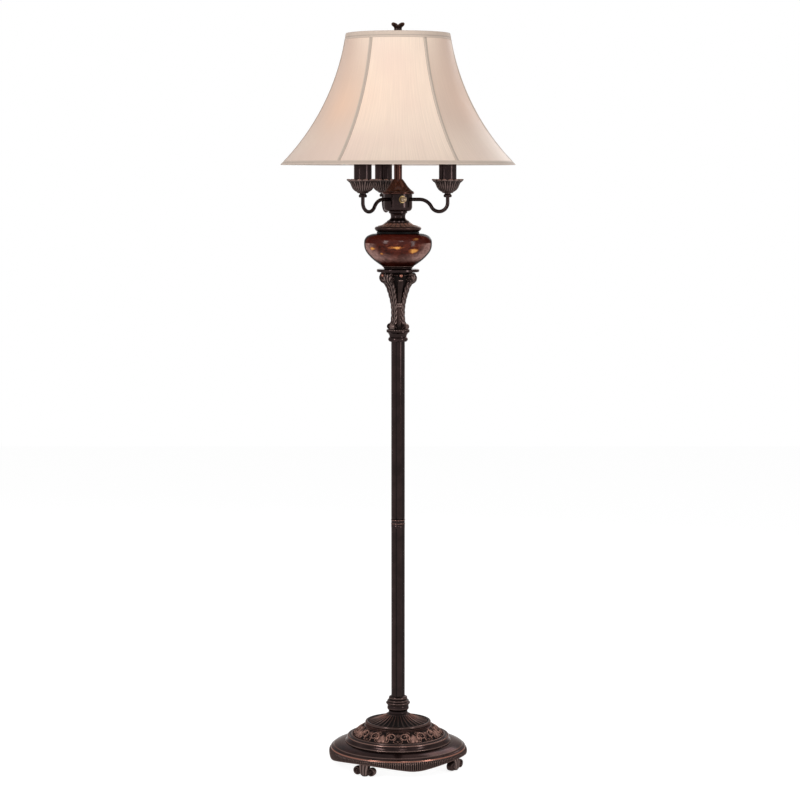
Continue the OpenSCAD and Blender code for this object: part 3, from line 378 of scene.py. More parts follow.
@dataclass(frozen=True)
class RubbedBronze:
    """Dark bronze, near black in its hollows from grime and painted shade, and rubbed on its edges to
    pinkish bronze and copper, with painted highlights.
    """

    name: str = "rubbed_bronze"
    paint: Rgb = (0.021, 0.0120, 0.0112)
    # Pinkish bronze where the metal is lightly rubbed, standing in also for a painted highlight on crests
    # and edges.
    worn_and_highlight: Rgb = (0.150, 0.095, 0.082)
    copper: Rgb = (0.34, 0.115, 0.070)
    # Near black in the hollows: grime, and painted shade.
    dirt_and_shade: Rgb = (0.0035, 0.0025, 0.0025)
    roughness: float = 0.19
    metallic: float = 0.80
    clear_coat: float = 0.06
    mottle: float = 0.35
    cloud_scale: float = 26.0
    grain_scale: float = 520.0
    sheen_tint: Rgb = (0.45, 0.38, 0.36)
    hammering: float = 0.00010

    def material(self) -> Material:
        """Builds the material."""
        shader = Shader(self.name)
        clouds = shader.noise(self.cloud_scale, 4.0, 0.6)
        grain = shader.noise(self.grain_scale, 3.0)
        rub = shader.mark(Mark.RUB_AND_HIGHLIGHT)
        recess = shader.mark(Mark.RECESS)
        dark, light = shades(self.paint, 1.0 - self.mottle, 1.0 + 1.4 * self.mottle)
        paint = shader.blend(dark, light, clouds.rise(0.30, 0.72))
        # The rubbed mark brings pinkish bronze and copper, as real rubbing and painted highlight; the
        # recess mark brings near black, as grime and painted shade.
        wear_and_highlight = (rub * (0.65 + grain * 0.7)).at_most(1.0)
        colour = paint.toward(self.worn_and_highlight, (wear_and_highlight * 2.0).at_most(1.0))
        colour = colour.toward(self.copper, (wear_and_highlight * 2.0 - 1.0).at_least(0.0))
        colour = colour.toward(self.dirt_and_shade, (recess * 1.05).at_most(0.96))
        return shader.finish({
            "Base Color": colour,
            "Roughness": (self.roughness + recess * 0.5 + (grain - 0.5) * 0.08).at_least(0.04),
            "Metallic": self.metallic * (1.0 - recess),
            "Specular IOR Level": 0.22,
            "Specular Tint": self.sheen_tint,
            "Coat Weight": self.clear_coat * (1.0 - recess),
            "Coat Roughness": 0.10,
            "Normal": shader.bump(grain * 0.5 + clouds, self.hammering, 0.5),
        })


@dataclass(frozen=True)
class Metal:
    """Bare metal with fine scratches and a little tarnish."""

    name: str
    colour: Rgb
    tarnish: Rgb
    roughness: float
    cloud_scale: float = 60.0
    scratch_scale: float = 900.0
    scratch_depth: float = 0.00005

    def material(self) -> Material:
        """Builds the material."""
        shader = Shader(self.name)
        clouds = shader.noise(self.cloud_scale, 3.0)
        brushed = shader.noise(self.scratch_scale, 2.0, 0.0, shader.stretched((1.0, 1.0, 0.08)))
        colour = shader.blend(self.colour, self.tarnish, clouds.rise(0.45, 0.80) * 0.6)
        return shader.finish({
            "Base Color": colour,
            "Metallic": 1.0,
            "Roughness": self.roughness + clouds * 0.14 + brushed * 0.08,
            "Normal": shader.bump(brushed, self.scratch_depth, 0.5),
        })


@dataclass(frozen=True)
class Moulded:
    """Plastic, porcelain, rubber or felt: one colour with a fine surface grain."""

    name: str
    colour: Rgb
    roughness: float
    grain_scale: float = 900.0
    grain_depth: float = 0.00006
    shine: float = 0.5
    cloud_scale: float = 45.0

    def material(self) -> Material:
        """Builds the material."""
        shader = Shader(self.name)
        grain = shader.noise(self.grain_scale, 3.0)
        clouds = shader.noise(self.cloud_scale, 2.0)
        dark, light = shades(self.colour, 0.82, 1.12)
        return shader.finish({
            "Base Color": shader.blend(dark, light, clouds * 0.6 + grain * 0.4),
            "Roughness": (self.roughness + (grain - 0.5) * 0.12).at_least(0.03),
            "Specular IOR Level": self.shine,
            "Normal": shader.bump(grain, self.grain_depth, 0.8),
        })


@dataclass(frozen=True)
class Blotch:
    """A patch of amber in the glass: where it lies, how far it reaches and how flat it is."""

    point: Triple
    reach: float
    flat: float = 2.6


@dataclass(frozen=True)
class TortoiseGlass:
    """Glossy glass with drifting patches of dark red and amber, a painted milky reflection low on its
    flanks, a painted dark reflection above its shoulder, a darker foot and a painted dark rim.
    """

    name: str = "tortoise_glass"
    # Heights in metres of the painted reflection's edge at the shoulder and of the darker foot.
    shoulder: float = 1.1500
    foot: float = 1.1130
    reds: tuple[tuple[float, Rgb], ...] = (
        (0.34, (0.008, 0.001, 0.0005)),
        (0.45, (0.040, 0.0045, 0.0015)),
        (0.57, (0.090, 0.014, 0.006)),
        (0.70, (0.210, 0.080, 0.058)),
    )
    painted_reflection: Rgb = (0.400, 0.235, 0.205)
    brown_amber: Rgb = (0.28, 0.072, 0.018)
    gold_amber: Rgb = (0.80, 0.36, 0.085)
    dark_reflection_top: Rgb = (0.050, 0.0075, 0.005)
    dark_foot: Rgb = (0.016, 0.003, 0.002)
    rim_shade: Rgb = (0.006, 0.002, 0.002)
    blotches: tuple[Blotch, ...] = (
        Blotch((-0.006, -0.073, 1.1416), 0.024, 4.4),
        Blotch((0.034, -0.062, 1.1345), 0.017, 2.0),
        Blotch((-0.035, -0.056, 1.1282), 0.010),
        Blotch((-0.056, -0.047, 1.1385), 0.013),
        Blotch((0.039, -0.060, 1.1590), 0.010),
        Blotch((0.062, 0.035, 1.1380), 0.019),
        Blotch((-0.050, 0.050, 1.1430), 0.020),
        Blotch((0.005, 0.070, 1.1330), 0.016),
    )

    def material(self) -> Material:
        """Builds the material."""
        shader = Shader(self.name)
        drift = shader.noise(24.0, 3.0, 1.2, shader.stretched((1.0, 1.0, 1.6)))
        swirl = shader.noise(70.0, 3.0, 0.8, shader.stretched((1.0, 1.0, 1.8)))
        _, _, height = shader.axes()
        body = shader.add("ShaderNodeValToRGB", {"stops": self.reds}, {0: drift * 0.55 + swirl * 0.45})
        colour = Tint(shader, body.outputs[0])
        facing = shader.facing()
        below = 1.0 - height.rise(self.shoulder - 0.0012, self.shoulder + 0.0012)
        low = 1.0 - height.rise(self.foot - 0.008, self.foot + 0.006)
        # Painted reflection: milky brown on the flanks between the shoulder and the foot.
        reflection_share = below * (1.0 - low) * facing.rise(0.18, 0.60) * (swirl * 1.9 - 0.10).at_least(0.0)
        colour = colour.toward(self.painted_reflection, reflection_share.at_most(0.9))
        amber: Number = 0.0
        for blotch in self.blotches:
            near = 1.0 - shader.distance(blotch.point, blotch.flat) / blotch.reach
            amber = (near * 1.1 + (swirl - 0.5) * 1.9).rise(0.05, 1.15).at_least(amber)
        colour = colour.toward(self.brown_amber, amber.rise(0.0, 0.55) * 0.8)
        colour = colour.toward(self.gold_amber, amber.rise(0.38, 1.0) * 0.9)
        # Painted dark reflection above the shoulder, darker toward the foot, and painted shade at the rim.
        colour = colour.toward(self.dark_reflection_top, (1.0 - below) * (0.95 - swirl * 0.45))
        colour = colour.toward(self.dark_foot, low * (1.05 - swirl * 0.5))
        colour = colour.toward(self.rim_shade, facing.rise(0.66, 0.80) * 0.97)
        return shader.finish({
            "Base Color": colour,
            "Roughness": 0.08 + drift * 0.03,
            "IOR": 1.03,
            "Coat Weight": (0.30 - facing * 0.6).at_least(0.0),
            "Coat Roughness": 0.16,
            "Normal": shader.bump(drift, 0.0004, 0.2),
        })


@dataclass(frozen=True)
class Glow:
    """Warm light of a bulb, painted on the shade near it."""

    point: Triple
    reach: float
    share: float


@dataclass(frozen=True)
class Silk:
    """Cream silk with fine upright slubs and the bulbs' light painted on: warmer and glowing where a bulb
    is near, with painted shade on its flanks.
    """

    name: str = "silk"
    colour: Rgb = (0.870, 0.715, 0.595)
    warm: Rgb = (0.900, 0.560, 0.360)
    blush: Rgb = (0.820, 0.630, 0.545)
    flank_shade: Rgb = (0.580, 0.400, 0.330)
    threads: float = 420.0
    relief: float = 0.00045
    bulb_tops: Pair = (1.34, 1.44)
    glows: tuple[Glow, ...] = ()
    glow_strength: float = 0.16

    def material(self) -> Material:
        """Builds the material."""
        shader = Shader(self.name)
        turn = shader.azimuth()
        _, _, height = shader.axes()
        along = shader.add("ShaderNodeCombineXYZ", {}, {0: turn * 60.0, 1: height * 5.0})
        slub = shader.noise(1.3, 4.0, 0.0, along.outputs[0])
        fine = shader.noise(3.6, 3.0, 0.0, along.outputs[0])
        facing = shader.facing()
        clouds = shader.noise(7.0, 2.0)
        warp = (turn * self.threads).sine()
        weft = (height * (self.threads * 8.0)).sine()
        # Painted bulb light: warms the cloth's colour and makes it glow near each bulb.
        glow: Number = 0.0
        for lamp in self.glows:
            reach = shader.distance(lamp.point) / lamp.reach
            glow = (reach * reach + 1.0) ** -2.0 * lamp.share + glow
        if isinstance(glow, Value):
            glow = glow.at_most(1.0)
        dark, light = shades(self.colour, 0.93, 1.06)
        cloth = shader.blend(dark, light, (slub * 0.5 + fine * 0.5).rise(0.34, 0.66))
        cloth = cloth.toward(self.blush, clouds.rise(0.46, 0.72) * 0.5)
        # Painted shade on the flanks, stronger above the bulbs, and a darker painted outline at the very
        # edge.
        turned = facing.rise(0.14, 0.62) * (0.40 + height.rise(*self.bulb_tops) * 0.60)
        turned = turned + facing.rise(0.80, 0.98) * 0.4
        cloth = cloth.toward(self.flank_shade, turned.at_most(1.0) * 0.60)
        colour = cloth.toward(self.warm, glow * 0.75)
        weave = slub * 0.6 + fine * 0.4 + warp * 0.12 + weft * 0.05
        return shader.finish({
            "Base Color": colour,
            "Roughness": 0.60 - fine * 0.16,
            "Specular IOR Level": 0.25,
            "Sheen Weight": 0.15,
            "Sheen Roughness": 0.4,
            "Emission Color": colour.scaled(glow),
            "Emission Strength": self.glow_strength,
            "Normal": shader.bump(weave, self.relief, 0.7),
        })


@dataclass(frozen=True)
class Braid:
    """Taupe tape woven across its length, with painted shade in its folds."""

    name: str = "braid"
    colour: Rgb = (0.640, 0.520, 0.435)
    ribs_round: float = 620.0
    ribs_up: float = 2400.0
    relief: float = 0.0003

    def material(self) -> Material:
        """Builds the material."""
        shader = Shader(self.name)
        turn = shader.azimuth()
        _, _, height = shader.axes()
        ribs = (turn * self.ribs_round + height * self.ribs_up).sine() * 0.5 + 0.5
        slub = shader.noise(160.0, 3.0)
        recess = shader.mark(Mark.RECESS)
        # The folded colour is painted shade, brought in by the recess mark.
        folded, dark, light = shades(self.colour, 0.42, 0.88, 1.10)
        colour = shader.blend(dark, light, slub * 0.6 + ribs * 0.4).toward(folded, recess)
        return shader.finish({
            "Base Color": colour,
            "Roughness": 0.78 - slub * 0.12,
            "Specular IOR Level": 0.25,
            "Sheen Weight": 0.12,
            "Normal": shader.bump(ribs * 0.5 + slub * 0.5, self.relief, 0.6),
        })


@dataclass(frozen=True)
class FrostedBulb:
    """A lit bulb's warm white glass."""

    name: str = "bulb_glass"
    shade: Rgb = (0.95, 0.86, 0.70)
    light: Rgb = (1.0, 0.93, 0.80)

    def material(self) -> Material:
        """Builds the material."""
        shader = Shader(self.name)
        soft = shader.noise(40.0, 2.0)
        colour = shader.blend(self.shade, self.light, soft)
        return shader.finish({
            "Base Color": colour,
            "Roughness": 0.32 + soft * 0.08,
            "Emission Color": colour,
            "Emission Strength": 0.9,
        })


class Finishes:
    """Every material of the lamp, made once."""

    def __init__(self, glows: tuple[Glow, ...]) -> None:
        """Makes the materials.

        Args:
            glows: the bulbs' light on the shade.
        """
        self.bronze = RubbedBronze().material()
        self.gloss_bronze = RubbedBronze(
            "gloss_bronze", paint=(0.021, 0.0120, 0.0115), roughness=0.14, clear_coat=0.10, mottle=0.25
        ).material()
        # The carved and copper finishes are lighter where rubbed, partly as painted highlight on their
        # relief.
        self.carved = RubbedBronze(
            "carved_bronze", paint=(0.034, 0.020, 0.018), worn_and_highlight=(0.215, 0.150, 0.135), roughness=0.28,
            metallic=0.65, clear_coat=0.03,
        ).material()
        self.copper = RubbedBronze(
            "copper_bronze", paint=(0.040, 0.020, 0.017), worn_and_highlight=(0.270, 0.150, 0.120),
            copper=(0.46, 0.215, 0.150), roughness=0.28, metallic=0.65, clear_coat=0.04,
        ).material()
        self.russet = RubbedBronze(
            "russet_bronze", paint=(0.060, 0.021, 0.0145), roughness=0.15, clear_coat=0.15, mottle=0.08
        ).material()
        self.brass = Metal("brass", (0.60, 0.42, 0.19), (0.26, 0.17, 0.08), 0.24).material()
        self.aged_brass = Metal(
            "aged_brass", (0.34, 0.255, 0.175), (0.055, 0.036, 0.024), 0.20
        ).material()
        self.steel = Metal("steel", (0.58, 0.57, 0.55), (0.33, 0.31, 0.29), 0.35).material()
        self.iron = Moulded("cast_iron", (0.045, 0.045, 0.047), 0.7, 300.0, 0.0004).material()
        self.felt = Moulded("felt", (0.020, 0.018, 0.017), 0.95, 1600.0, 0.0005).material()
        self.rubber = Moulded("black_rubber", (0.004, 0.0035, 0.0035), 0.45, shine=0.05).material()
        self.plastic = Moulded("switch_plastic", (0.016, 0.015, 0.014), 0.4).material()
        self.porcelain = Moulded("socket_body", (0.78, 0.75, 0.68), 0.22, 200.0).material()
        self.tortoise = TortoiseGlass().material()
        self.silk = Silk(glows=glows).material()
        self.lining = Silk("lining", (0.86, 0.80, 0.72), glows=glows, glow_strength=0.35).material()
        self.braid = Braid().material()
        self.bulb = FrostedBulb().material()


# Forms -----------------------------------------------------------------


def on_azimuth(points: Array, azimuth: float) -> Array:
    """Turns points whose +X is outward so that +X points to an azimuth.

    Args:
        points: an array of points.
        azimuth: the azimuth in degrees.

    Returns:
        The turned points.
    """
    turn = math.radians(azimuth - 90.0)
    c, s = math.cos(turn), math.sin(turn)
    return points @ np.array([[c, s, 0.0], [-s, c, 0.0], [0.0, 0.0, 1.0]])


def rounded(points: Outline, times: int = 2) -> Array:
    """An outline with its corners cut again and again until they are round.

    Args:
        points: the outline's corners. A corner given twice stays crisp.
        times: how often each corner is cut.

    Returns:
        The points of the rounded outline.
    """
    line = np.array(points, float)
    for _ in range(times):
        low = line[:-1] * 0.75 + line[1:] * 0.25
        high = line[:-1] * 0.25 + line[1:] * 0.75
        cut = np.stack([low, high], axis=1).reshape(-1, line.shape[1])
        line = np.vstack([line[:1], cut, line[-1:]])
    return line


def reach_along(points: Array) -> Array:
    """How far along a line each of its points lies."""
    return np.concatenate([[0.0], np.cumsum(np.linalg.norm(np.diff(points, axis=0), axis=1))])


def directions(points: Array) -> Array:
    """The unit direction of a line at each of its points."""
    run = np.gradient(points, axis=0)
    return run / np.linalg.norm(run, axis=1)[:, None]


def spaced(points: Array, step: float) -> Array:
    """Points at an even step along a line, its own ends kept.

    Args:
        points: the line's points.
        step: the wanted distance between points.

    Returns:
        The evenly spaced points.
    """
    reach = reach_along(points)
    stops = np.linspace(0.0, reach[-1], max(2, int(reach[-1] / step) + 1))
    return np.stack([np.interp(stops, reach, points[:, k]) for k in range(points.shape[1])], axis=1)


def unit(value: Array) -> Array:
    """The value, kept between 0 and 1."""
    return np.clip(value, 0.0, 1.0)


def smooth_step(low: float, high: float, value: Array) -> Array:
    """0 up to low, 1 from high, and a smooth rise between."""
    share = unit((value - low) / (high - low))
    return share * share * (3.0 - 2.0 * share)


def peak(value: Array, at: float, wide: float) -> Array:
    """A bell curve that is 1 at a place and falls off over a width."""
    return np.exp(-(((value - at) / wide) ** 2))


def lifted(corners: Outline, base: float) -> Array:
    """Radius and height pairs with a base added to each height."""
    return np.array(corners, float) + [0.0, base]


def turned_line(corners: Outline, step: float, base: float = 0.0, times: int = 2) -> Array:
    """The smooth outside of a turned piece.

    Args:
        corners: its corners from the foot up, as radius and height above the base.
        step: the distance between its points.
        base: the height of the piece's foot.
        times: how often each corner is cut.

    Returns:
        The line's points.
    """
    return spaced(rounded(lifted(corners, base), times), step)


def closed_outline(
    corners: Outline, inside: Outline, step: float, base: float = 0.0, times: int = 2
) -> Array:
    """The closed outline of a turned piece: a smooth outside and a plain inside.

    Args:
        corners: the outside's corners from the foot up, as radius and height above the base.
        inside: the inside's corners from the top down, in the same way.
        step: the distance between the outside's points.
        base: the height of the piece's foot.
        times: how often each outside corner is cut.

    Returns:
        The outline's points.
    """
    return np.vstack([turned_line(corners, step, base, times), lifted(inside, base)])


def curl(
    eye: Sequence[float], reach: float, inner: float, turns: float, first: float, hand: int,
    power: float = 0.8,
) -> Array:
    """The flat curl of a volute, from its outside in to its eye.

    Args:
        eye: the two coordinates of its middle.
        reach: how much further out it starts than it ends.
        inner: the radius that it ends at.
        turns: how many turns it makes.
        first: the angle it starts at, in radians.
        hand: 1 to wind anticlockwise and -1 the other way.
        power: above 1 to close in early and below 1 to close in late.

    Returns:
        The curl's points.
    """
    swept = np.linspace(0.0, turns * ALL_ROUND, 90)
    away = reach * (1.0 - swept / swept[-1]) ** power + inner
    angle = first + hand * swept
    return np.stack([eye[0] + away * np.cos(angle), eye[1] + away * np.sin(angle)], axis=1)


def capped(loops: Array) -> Array:
    """Rows of closed loops with the middle of the end loops added, so that the skin closes."""
    ends = [np.repeat(loops[k].mean(axis=0)[None, None], loops.shape[1], axis=1) for k in (0, -1)]
    return np.concatenate([ends[0], loops, ends[1]], axis=0)


class Form:
    """The points, faces and marks of one piece while it is built: rubbing with painted highlight, and grime
    with painted shade.
    """

    def __init__(self) -> None:
        """Starts with nothing."""
        self.points: list[Array] = []
        self.faces: list[Array] = []
        self.marks: dict[Mark, list[Array]] = {mark: [] for mark in Mark}
        self.count = 0

    def grid(
        self, points: Array, loop_u: bool = False, loop_v: bool = False,
        rub: Union[float, Array] = 0.0, recess: Union[float, Array] = 0.0,
    ) -> "Form":
        """Adds a net of four-sided faces.

        Args:
            points: an array of rows, columns and coordinates, in millimetres.
            loop_u: whether the last row joins the first.
            loop_v: whether the last column joins the first.
            rub: copper rubbing and painted highlight at each point.
            recess: grime and painted shade in the hollow at each point.

        Returns:
            This form.
        """
        rows, columns = points.shape[:2]
        index = np.arange(rows * columns).reshape(rows, columns) + self.count
        if loop_u:
            index = np.vstack([index, index[:1]])
        if loop_v:
            index = np.hstack([index, index[:, :1]])
        quads = np.stack([index[:-1, :-1], index[:-1, 1:], index[1:, 1:], index[1:, :-1]], axis=-1)
        self.points.append(points.reshape(-1, 3))
        self.faces.append(quads.reshape(-1, 4))
        for mark, value in ((Mark.RUB_AND_HIGHLIGHT, rub), (Mark.RECESS, recess)):
            self.marks[mark].append(np.broadcast_to(value, (rows, columns)).reshape(-1))
        self.count += rows * columns
        return self

    def join(self, other: "Form", azimuth: float = 90.0, shift: Sequence[float] = (0, 0, 0)) -> "Form":
        """Adds a copy of another form.

        Args:
            other: the form to copy.
            azimuth: where its +X points.
            shift: how far it is moved first, in its own axes.

        Returns:
            This form.
        """
        for points, faces in zip(other.points, other.faces):
            self.points.append(on_azimuth(points + np.array(shift, float), azimuth))
            self.faces.append(faces + self.count)
        for mark in Mark:
            self.marks[mark].extend(other.marks[mark])
        self.count += other.count
        return self

    def marked(self, mark: Mark, amount: float) -> "Form":
        """Gives every point the same mark of one kind."""
        self.marks[mark] = [np.full(self.count, amount)]
        return self

    def laid(self, axes: Sequence[int], shift: Sequence[float] = (0.0, 0.0, 0.0)) -> "Form":
        """Lays the form over and moves it.

        Args:
            axes: which of its old axes becomes x, y and z.
            shift: how far it is moved after that.

        Returns:
            This form.
        """
        self.points = [points[:, list(axes)] + np.array(shift, float) for points in self.points]
        return self

    def build(
        self, name: str, material: Material, nodes: Sequence[str], slot: str,
        body: Body = Body.LAMP,
    ) -> Piece:
        """Makes the piece and hangs it on its body.

        Args:
            name: the piece's name.
            material: its finish.
            nodes: the plain nodes that it stands for.
            slot: the name of a material slot; not used.
            body: the body that it moves with.

        Returns:
            The piece.
        """
        mesh = bpy.data.meshes.new(name)
        points = np.vstack(self.points) * MM
        mesh.from_pydata(points.tolist(), [], np.vstack(self.faces).tolist())
        for mark in Mark:
            layer = mesh.attributes.new(mark.value, "FLOAT", "POINT")
            layer.data.foreach_set("value", np.concatenate(self.marks[mark]).astype(np.float32))
        work = bmesh.new()
        work.from_mesh(mesh)
        bmesh.ops.remove_doubles(work, verts=work.verts, dist=WELD)
        bmesh.ops.dissolve_degenerate(work, edges=work.edges, dist=SLIVER)
        bmesh.ops.recalc_face_normals(work, faces=work.faces)
        work.to_mesh(mesh)
        work.free()
        mesh.shade_smooth()
        mesh.materials.append(material)
        piece = bpy.data.objects.new(name, mesh)
        bpy.context.scene.collection.objects.link(piece)
        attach(piece, body.value)
        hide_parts(*nodes)
        LOG.info("built %s: %d points on %s", name, len(mesh.vertices), body.value)
        return piece


# A relief takes the azimuth, radius and height of every point of a turned piece. It gives
# back the new radius and height, the rubbing with painted highlight and the recess with grime and painted
# shade.
Relief = Callable[[Array, Array, Array], tuple]


def lathe(outline: Array, steps: int, relief: Optional[Relief] = None) -> Form:
    """A turned piece from a closed loop of radius and height points.

    Args:
        outline: the loop, without its first point again at the end.
        steps: how many steps round the axis.
        relief: what is carved into it or worn on it.

    Returns:
        The form.
    """
    turn = np.linspace(0.0, ALL_ROUND, steps, endpoint=False)
    azimuth, radius = np.meshgrid(turn, outline[:, 0], indexing="ij")
    _, height = np.meshgrid(turn, outline[:, 1], indexing="ij")
    rub, recess = 0.0, 0.0
    if relief:
        radius, height, rub, recess = relief(azimuth, radius, height)
    points = np.stack([radius * np.sin(azimuth), -radius * np.cos(azimuth), height], axis=-1)
    return Form().grid(points, True, True, rub, recess)


def ball(centre: Sequence[float], radius: float, squash: float = 1.0, sides: int = 12) -> Form:
    """A small round bead.

    Args:
        centre: its middle.
        radius: its radius.
        squash: its height as a share of its width.
        sides: how many sides round it.

    Returns:
        The form.
    """
    up = np.linspace(-math.pi / 2, math.pi / 2, sides // 2 + 1)
    turn = np.linspace(0.0, ALL_ROUND, sides, endpoint=False)
    lat, lon = np.meshgrid(up, turn, indexing="ij")
    points = np.stack([
        np.cos(lat) * np.cos(lon), np.cos(lat) * np.sin(lon), np.sin(lat) * squash
    ], axis=-1) * radius + np.array(centre, float)
    return Form().grid(points, False, True)


def sweep(
    path: Array, across: Array, widths: Array, thicks: Array,
    sides: int = 12, power: float = 1.0,
) -> Form:
    """A band carried along a path, with a rounded section and closed ends.

    Args:
        path: the middle of the band.
        across: the direction of its width at each point.
        widths: its full width at each point.
        thicks: its full thickness at each point.
        sides: how many sides round the section.
        power: below 1 for a squarer section.

    Returns:
        The form.
    """
    run = directions(path)
    normal = np.cross(run, across)
    normal /= np.linalg.norm(normal, axis=1)[:, None]
    angle = np.linspace(0.0, ALL_ROUND, sides, endpoint=False)
    cos, sin = np.cos(angle), np.sin(angle)
    wide = np.sign(cos) * np.abs(cos) ** power
    deep = np.sign(sin) * np.abs(sin) ** power
    rings = (
        path[:, None] + across[:, None] * wide[None, :, None] * widths[:, None, None] / 2
        + normal[:, None] * deep[None, :, None] * thicks[:, None, None] / 2
    )
    # One face of the band is lightly rubbed: copper rubbing and a painted highlight on that side.
    rub = np.broadcast_to(smooth_step(0.2, 1.0, sin)[None], (len(path) + 2, sides)) * 0.25
    return Form().grid(capped(rings), False, True, rub)


# Relief ----------------------------------------------------------------


class Canvas:
    """A flat map of heights that strokes and petals are raised on."""

    def __init__(self, wide: float, tall: float, step: float = 0.4) -> None:
        """Makes an empty map.

        Args:
            wide: its width in millimetres, from 0.
            tall: its height in millimetres, from 0.
            step: the distance between its samples.
        """
        self.wide, self.tall = wide, tall
        self.columns, self.rows = int(wide / step) + 1, int(tall / step) + 1
        x = np.linspace(0.0, wide, self.columns)
        y = np.linspace(0.0, tall, self.rows)
        self.x, self.y = np.meshgrid(x, y, indexing="ij")
        self.height = np.zeros_like(self.x)

    def _raise(self, height: Array) -> None:
        """Keeps the higher of the map and another one."""
        self.height = np.maximum(self.height, height)

    def stroke(self, line: Array, start: float, end: float, tall: float) -> "Canvas":
        """Raises a rounded ridge along a line.

        Args:
            line: the line's points.
            start: the half width at its start.
            end: the half width at its end.
            tall: the height of its crest.

        Returns:
            This canvas.
        """
        line = spaced(line, 0.8)
        for share, (x, y) in zip(np.linspace(0.0, 1.0, len(line)), line):
            half = start + (end - start) * share
            near = ((self.x - x) ** 2 + (self.y - y) ** 2) / half**2
            crest = tall * (0.5 + 0.5 * half / max(start, end))
            self._raise(crest * np.sqrt(unit(1.0 - near)))
        return self

    def petal(self, x: float, y: float, angle: float, reach: float, half: float, tall: float) -> "Canvas":
        """Raises a pointed leaf with a groove down its middle.

        Args:
            x: where its foot stands.
            y: where its foot stands.
            angle: where it points, in degrees from +x.
            reach: its length.
            half: its largest half width.
            tall: its height.

        Returns:
            This canvas.
        """
        c, s = math.cos(math.radians(angle)), math.sin(math.radians(angle))
        along = ((self.x - x) * c + (self.y - y) * s) / reach
        side = (-(self.x - x) * s + (self.y - y) * c) / half
        body = unit(along)
        edge = 1.9 * body**0.45 * (1.0 - body) ** 0.6 + 1e-6
        inside = unit(1.0 - (side / edge) ** 2) * ((along > 0) & (along < 1))
        vein = 1.0 - 0.5 * peak(side, 0.0, 0.22)
        self._raise(tall * np.sqrt(inside) * vein * (0.55 + 0.45 * np.sin(math.pi * body)))
        return self

    def scroll(
        self, x: float, y: float, reach: float, turns: float, first: float, hand: int, lobes: int
    ) -> "Canvas":
        """Raises a leafy scroll that winds in to an eye, with lobes along its outside.

        Args:
            x: the eye.
            y: the eye.
            reach: how far out the scroll starts.
            turns: how many turns it makes.
            first: the angle it starts at, in degrees.
            hand: 1 to wind anticlockwise and -1 the other way.
            lobes: how many leaf lobes its outer turn carries.

        Returns:
            This canvas.
        """
        t = np.linspace(0.0, 1.0, 80)
        angle = math.radians(first) + hand * t * turns * ALL_ROUND
        radius = reach * (1.0 - t) ** 0.8 + 0.5
        line = np.stack([x + radius * np.cos(angle), y + radius * np.sin(angle)], axis=1)
        for lobe in range(lobes):
            at = int(lobe / lobes * 45)
            lean = math.degrees(angle[at]) - hand * 38.0
            length = 0.62 * reach * (1.0 - 0.35 * lobe / lobes)
            self.petal(*line[at], lean, length, 0.17 * reach, 0.85)
        return self.stroke(line, 0.17 * reach, 0.10 * reach, 1.0)

    def mirrored(self) -> "Canvas":
        """Adds the map's own mirror image about its upright middle."""
        self._raise(self.height[::-1])
        return self

    def at(self, x: Array, y: Array) -> Array:
        """The heights at given places, with the map repeated sideways.

        Args:
            x: places across it.
            y: places up it.

        Returns:
            The heights.
        """
        u = np.mod(x, self.wide) / self.wide * (self.columns - 1)
        v = unit(y / self.tall) * (self.rows - 1)
        i = np.minimum(u.astype(int), self.columns - 2)
        j = np.minimum(v.astype(int), self.rows - 2)
        a, b = u - i, v - j
        low = self.height[i, j] * (1 - a) + self.height[i + 1, j] * a
        high = self.height[i, j + 1] * (1 - a) + self.height[i + 1, j + 1] * a
        return low * (1 - b) + high * b


def leaf_canvas(wide: float, tall: float) -> Canvas:
    """One repeat of carved leafage: a standing leaf between pairs of leafy scrolls.

    Args:
        wide: the repeat's width.
        tall: the band's height.

    Returns:
        The canvas.
    """
    canvas = Canvas(wide, tall, 0.3)
    mid = wide / 2
    canvas.scroll(0.79 * wide, 0.55 * tall, 0.36 * tall, 1.6, 215.0, -1, 7)
    canvas.scroll(0.65 * wide, 0.82 * tall, 0.20 * tall, 1.3, 300.0, 1, 5)
    canvas.scroll(0.63 * wide, 0.24 * tall, 0.20 * tall, 1.3, 60.0, -1, 5)
    canvas.scroll(0.945 * wide, 0.18 * tall, 0.17 * tall, 1.2, 100.0, 1, 5)
    standing = ((88, 0.80, 0.10), (74, 0.66, 0.12), (58, 0.52, 0.10), (40, 0.40, 0.08), (20, 0.30, 0.07))
    for lean, reach, foot in standing:
        canvas.petal(mid, foot * tall, lean, reach * tall, 0.042 * wide, 1.0)
    for lean, reach in ((90, 0.50), (66, 0.40), (112, 0.40)):
        canvas.petal(0.995 * wide, 0.52 * tall, lean, reach * tall, 0.034 * wide, 0.9)
    return canvas.mirrored()


# Base ------------------------------------------------------------------


